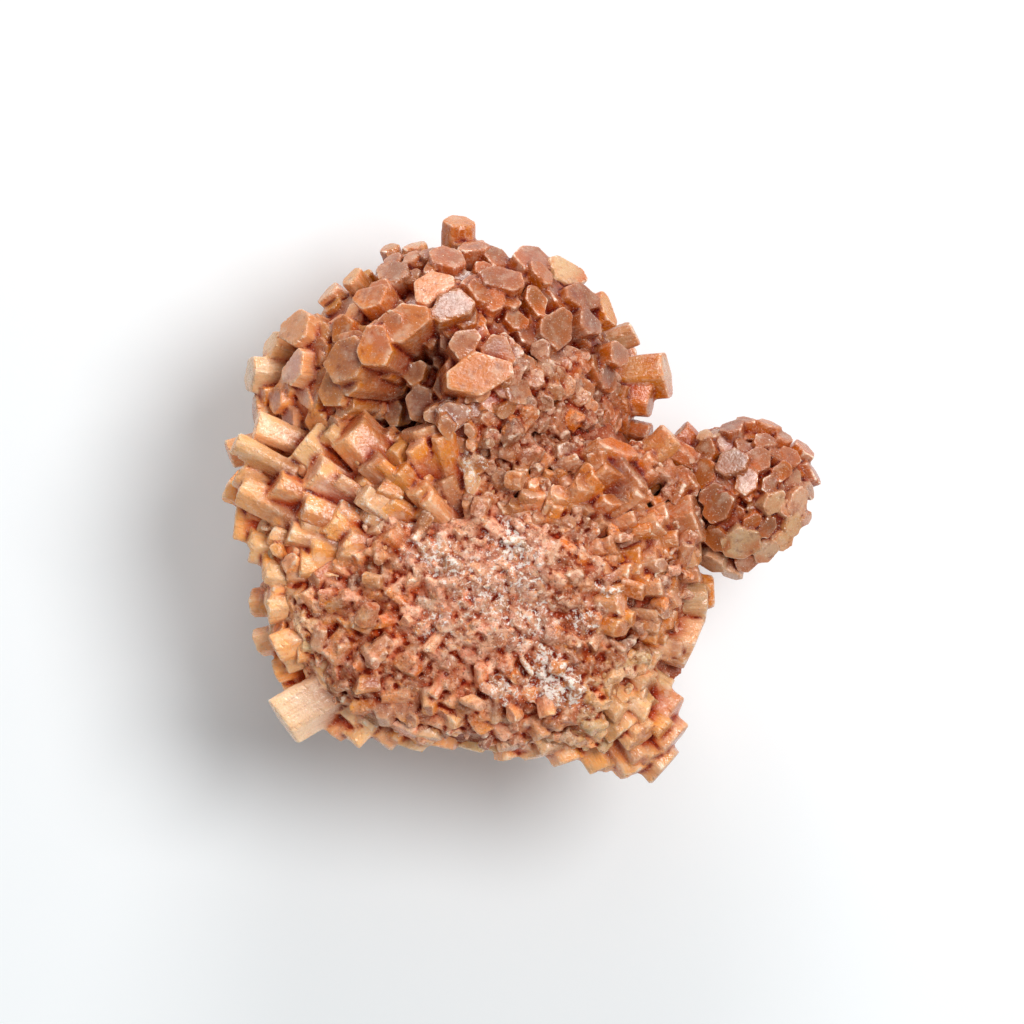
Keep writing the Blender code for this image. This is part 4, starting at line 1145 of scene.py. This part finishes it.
    # Worn parts are a crust of grains, pale, rosy or rusty.
    rubbed = remap(grit, 0.3, 0.9, 0.0, 0.45)
    palest = mixed(number("MULTIPLY", rubbed, remap(grainShade, 0.52, 0.72)), cored, "grainPale")
    grainy = mixed(number("MULTIPLY", rubbed, remap(grainShade, 0.48, 0.30)), palest, "grainRust")

    # Painted shade: hollows and creases are darkened towards red. Painted light on the bulges and corners.
    # Edges are pale, partly wear and partly a painted highlight.
    paintedHollowShade = multiplied(remap(hollow, *look["hollow"]), grainy, "paintedHollowShade")
    # Painted shade in the creases between crystals.
    withPaintedCreaseShade = multiplied(remap(ridge, *look["crease"], 0.0, 0.85), paintedHollowShade, "paintedCreaseShade")
    # Painted light on the bulges and corners, where the stone is smooth.
    withPaintedRimLight = mixed(number("MULTIPLY", remap(hollow, *look["bulge"], 0.0, 0.5),
                          number("MULTIPLY", smooth, remap(clouds, 0.36, 0.6, 0.3, 1.0))), withPaintedCreaseShade, rimLight)
    # Pale edges, in patches: partly wear and partly a painted highlight.
    patchy = number("MULTIPLY", remap(blots, 0.42, 0.60, 0.1, 0.9), remap(clouds, 0.42, 0.58, 0.25, 1.0))
    edgeWearAndHighlight = number("MULTIPLY", remap(ridge, *look["ridge"]), patchy)
    edged = mixed(edgeWearAndHighlight, withPaintedRimLight, "cream")

    # Grit: dark specks of dirt, stronger on the worn parts, and pale specks there, partly dust and
    # partly painted sparkle. Painted glints: white dots in patches.
    roughly = remap(grit, 0.0, 1.0, 0.5, 1.0)
    dirty = mixed(number("MULTIPLY", remap(specks, 0.56, 0.72, 0.0, 0.85), remap(grit, 0.1, 1.0, 0.25, 1.0)),
                  edged, "dirt")
    glints = nodes.new("ShaderNodeTexVoronoi")
    glints.inputs["Scale"].default_value = look["glints"]
    link(here, glints.inputs["Vector"])
    chance = vector("DOT_PRODUCT", glints.outputs["Color"], (1, 0, 0), output="Value")
    sparse = remap(chance, 0.5, 1.0, 0.0, 0.2)
    glint = number("LESS_THAN", glints.outputs["Distance"],
                   number("MULTIPLY", sparse, remap(cloudy(here, look["glintPatches"], 3.0), 0.44, 0.62)))
    withDustAndSparkle = mixed(number("MULTIPLY", remap(dustAndSparkle, 0.63, 0.70, 0.0, 0.7), roughly), dirty, "spark")
    withPaintedGlints = mixed(number("MULTIPLY", glint, 0.8), withDustAndSparkle, "spark")
    flaky = number("ADD", cloudy(here, look["flakes"], 4.0, 0.75), number("MULTIPLY", frost, 0.17))
    powder = number("MULTIPLY", remap(frost, 0.02, 0.25), remap(flaky, 0.59, 0.66))
    powdered = mixed(number("MULTIPLY", powder, 0.88), withPaintedGlints, "powder")
    link(powdered, shader.inputs["Base Color"])

    smoothest, roughest = look["roughness"] - look["roughLess"], look["roughness"] + look["roughMore"]
    dull = number("MULTIPLY", number("MAXIMUM", powder, number("MULTIPLY", grit, 0.5)), 0.35)
    link(number("ADD", remap(specks, 0.3, 0.7, smoothest, roughest), dull), shader.inputs["Roughness"])
    shader.inputs["Subsurface Weight"].default_value = look["subsurface"]
    shader.inputs["Subsurface Radius"].default_value = look["subsurfaceRadius"]
    shader.inputs["Subsurface Scale"].default_value = look["subsurfaceScale"]
    shader.inputs["IOR"].default_value = look["ior"]
    matt = number("ADD", number("MULTIPLY", hollow, 2.0), grit)  # hollows and worn parts shine less
    link(remap(matt, 0.1, 1.1, 0.5, 0.06), shader.inputs["Specular IOR Level"])

    relief = nodes.new("ShaderNodeBump")
    relief.inputs["Strength"].default_value = look["relief"]
    relief.inputs["Distance"].default_value = look["reliefDepth"]
    sideHeight = number("MULTIPLY", number("MULTIPLY", streaks, 0.6), number("SUBTRACT", 1.0, cap))
    domed = number("SUBTRACT", 1.0, number("MULTIPLY", grains.outputs["Distance"], 1.4))
    grainHeight = number("MULTIPLY", rubbed, domed)
    rubs = number("ADD", number("MULTIPLY", specks, number("MULTIPLY", roughly, 0.8)), blots)
    fineHeight = number("MULTIPLY", rubs, remap(cap, 0.0, 1.0, 1.0, 0.4))
    link(number("ADD", number("ADD", sideHeight, fineHeight), grainHeight), relief.inputs["Height"])
    link(relief.outputs["Normal"], shader.inputs["Normal"])
    return material


# Table, light and camera.
studio = {
    "floor": (0.93, 0.945, 0.955), "floorRoughness": 0.9, "floorShine": 0.1, "floorSize": 3.0,
    "cameraHeight": 1.2, "aimHeight": 0.027, "frameWidth": 0.1024, "aim": (-0.000916, -0.000901),
    "sensor": 36.0, "clip": (0.05, 10.0), "lampAim": (0.0, 0.0, 0.02),
    "keyPlace": (0.25, 0.10, 0.57), "keySize": 0.30, "keyPower": 2.6,
    "backPlace": (0.02, 0.48, 0.20), "backSize": 0.22, "backPower": 1.35,
    "world": 0.38, "skyColour": (0.92, 0.98, 1.0),
}


def areaLight(name, place, size, power):
    lamp = bpy.data.lights.new(name, "AREA")
    lamp.shape = "DISK"
    lamp.size = size
    lamp.energy = power
    item = bpy.data.objects.new(name, lamp)
    item.location = place
    item.rotation_euler = (Vector(studio["lampAim"]) - Vector(place)).to_track_quat("-Z", "Y").to_euler()
    bpy.context.scene.collection.objects.link(item)


def makeStudio():
    half = studio["floorSize"] / 2
    mesh = bpy.data.meshes.new("table")
    corners = [(-half, -half, 0), (half, -half, 0), (half, half, 0), (-half, half, 0)]
    mesh.from_pydata(corners, [], [(0, 1, 2, 3)])
    floor = bpy.data.objects.new("table", mesh)
    bpy.context.scene.collection.objects.link(floor)
    paint = bpy.data.materials.new("paleTable")
    paint.use_nodes = True
    shader = paint.node_tree.nodes["Principled BSDF"]
    shader.inputs["Base Color"].default_value = (*studio["floor"], 1)
    shader.inputs["Roughness"].default_value = studio["floorRoughness"]
    shader.inputs["Specular IOR Level"].default_value = studio["floorShine"]
    mesh.materials.append(paint)

    world = bpy.data.worlds.new("softRoom")
    world.use_nodes = True
    world.node_tree.nodes["Background"].inputs["Color"].default_value = (*studio["skyColour"], 1)
    world.node_tree.nodes["Background"].inputs["Strength"].default_value = studio["world"]
    bpy.context.scene.world = world
    areaLight("keyLight", studio["keyPlace"], studio["keySize"], studio["keyPower"])
    areaLight("backLight", studio["backPlace"], studio["backSize"], studio["backPower"])

    lens = bpy.data.cameras.new("topCamera")
    lens.sensor_width = studio["sensor"]
    lens.lens = studio["sensor"] * (studio["cameraHeight"] - studio["aimHeight"]) / studio["frameWidth"]
    lens.clip_start, lens.clip_end = studio["clip"]
    camera = bpy.data.objects.new("topCamera", lens)
    camera.location = (*studio["aim"], studio["cameraHeight"])
    bpy.context.scene.collection.objects.link(camera)
    bpy.context.scene.camera = camera
    bpy.context.scene.view_settings.view_transform = "Standard"


skins = {  # seed, size of the skin's cells in millimetres, and how much its flat parts are thinned out
    "crown": (11, 0.169, 0.12), "crownSides": (17, 0.27, 0.12), "star": (12, 0.218, 0.12),
    "bundles": (13, 0.185, 0.12), "rubble": (14, 0.175, 0.10), "foot": (15, 0.35, 0.10),
    "bud": (16, 0.14, 0.12),
}
shapeSeed, crystalsSeed = 7, 41

makeStudio()
print("studio ready")

shapeDice = random.Random(shapeSeed)
kinds = {
    kind: helperGroup(kind + "Shapes", [crystalKind(f"{kind}{number:02d}", shape, shapeDice)
                                        for number in range(shape["kinds"])])
    for kind, shape in crystalShapes.items()
}
tree = growthTree()
stone = aragoniteMaterial(aragonite)
dice = random.Random(crystalsSeed)

crownSeeds = placedSeeds("crown", crownCrystals, dice)
crownSeeds += companionSeeds("crown", crownSeeds, dice)
sideSeeds = coveringSeeds("crown", crownSeeds, dice)
crownSeeds += fillingSeeds("crown", dice)
grown("crown", crownSeeds, [core("crownCore")], kinds["prism"], *skins["crown"])
grown("crownSides", sideSeeds, [core("sideCore")], kinds["prism"], *skins["crownSides"])

starSeeds = placedSeeds("star", starCrystals, dice)
starSeeds += companionSeeds("star", starSeeds, dice) + rimSeeds(dice)
starSeeds += coveringSeeds("star", starSeeds, dice)
grown("star", starSeeds, [core("starCore")], kinds["prism"], *skins["star"])

bundleCores = [core("bundleCore"), core("saddleCore")]
grown("bundles", bundleSeeds(dice) + saddleSeeds(dice), bundleCores, kinds["broken"], *skins["bundles"])

rubbleCore = core("rubbleCore", underFace=True)
grown("rubble", rubbleSeeds(dice) + crumbSeeds(dice), [rubbleCore], kinds["lump"], *skins["rubble"])

footSeeds = coveringSeeds("foot", [], dice)
grown("foot", footSeeds, [core("footCore")], kinds["prism"], *skins["foot"])

budSeeds = placedSeeds("bud", budCrystals, dice)
budSeeds += companionSeeds("bud", budSeeds, dice)
budSeeds += coveringSeeds("bud", budSeeds, dice) + fillingSeeds("bud", dice)
grown("bud", budSeeds, [core("budCore"), core("neckCore")], kinds["prism"], *skins["bud"])

for group in kinds.values():
    for item in list(group.objects):
        bpy.data.objects.remove(item)
    bpy.data.collections.remove(group)
print("crystals grown")
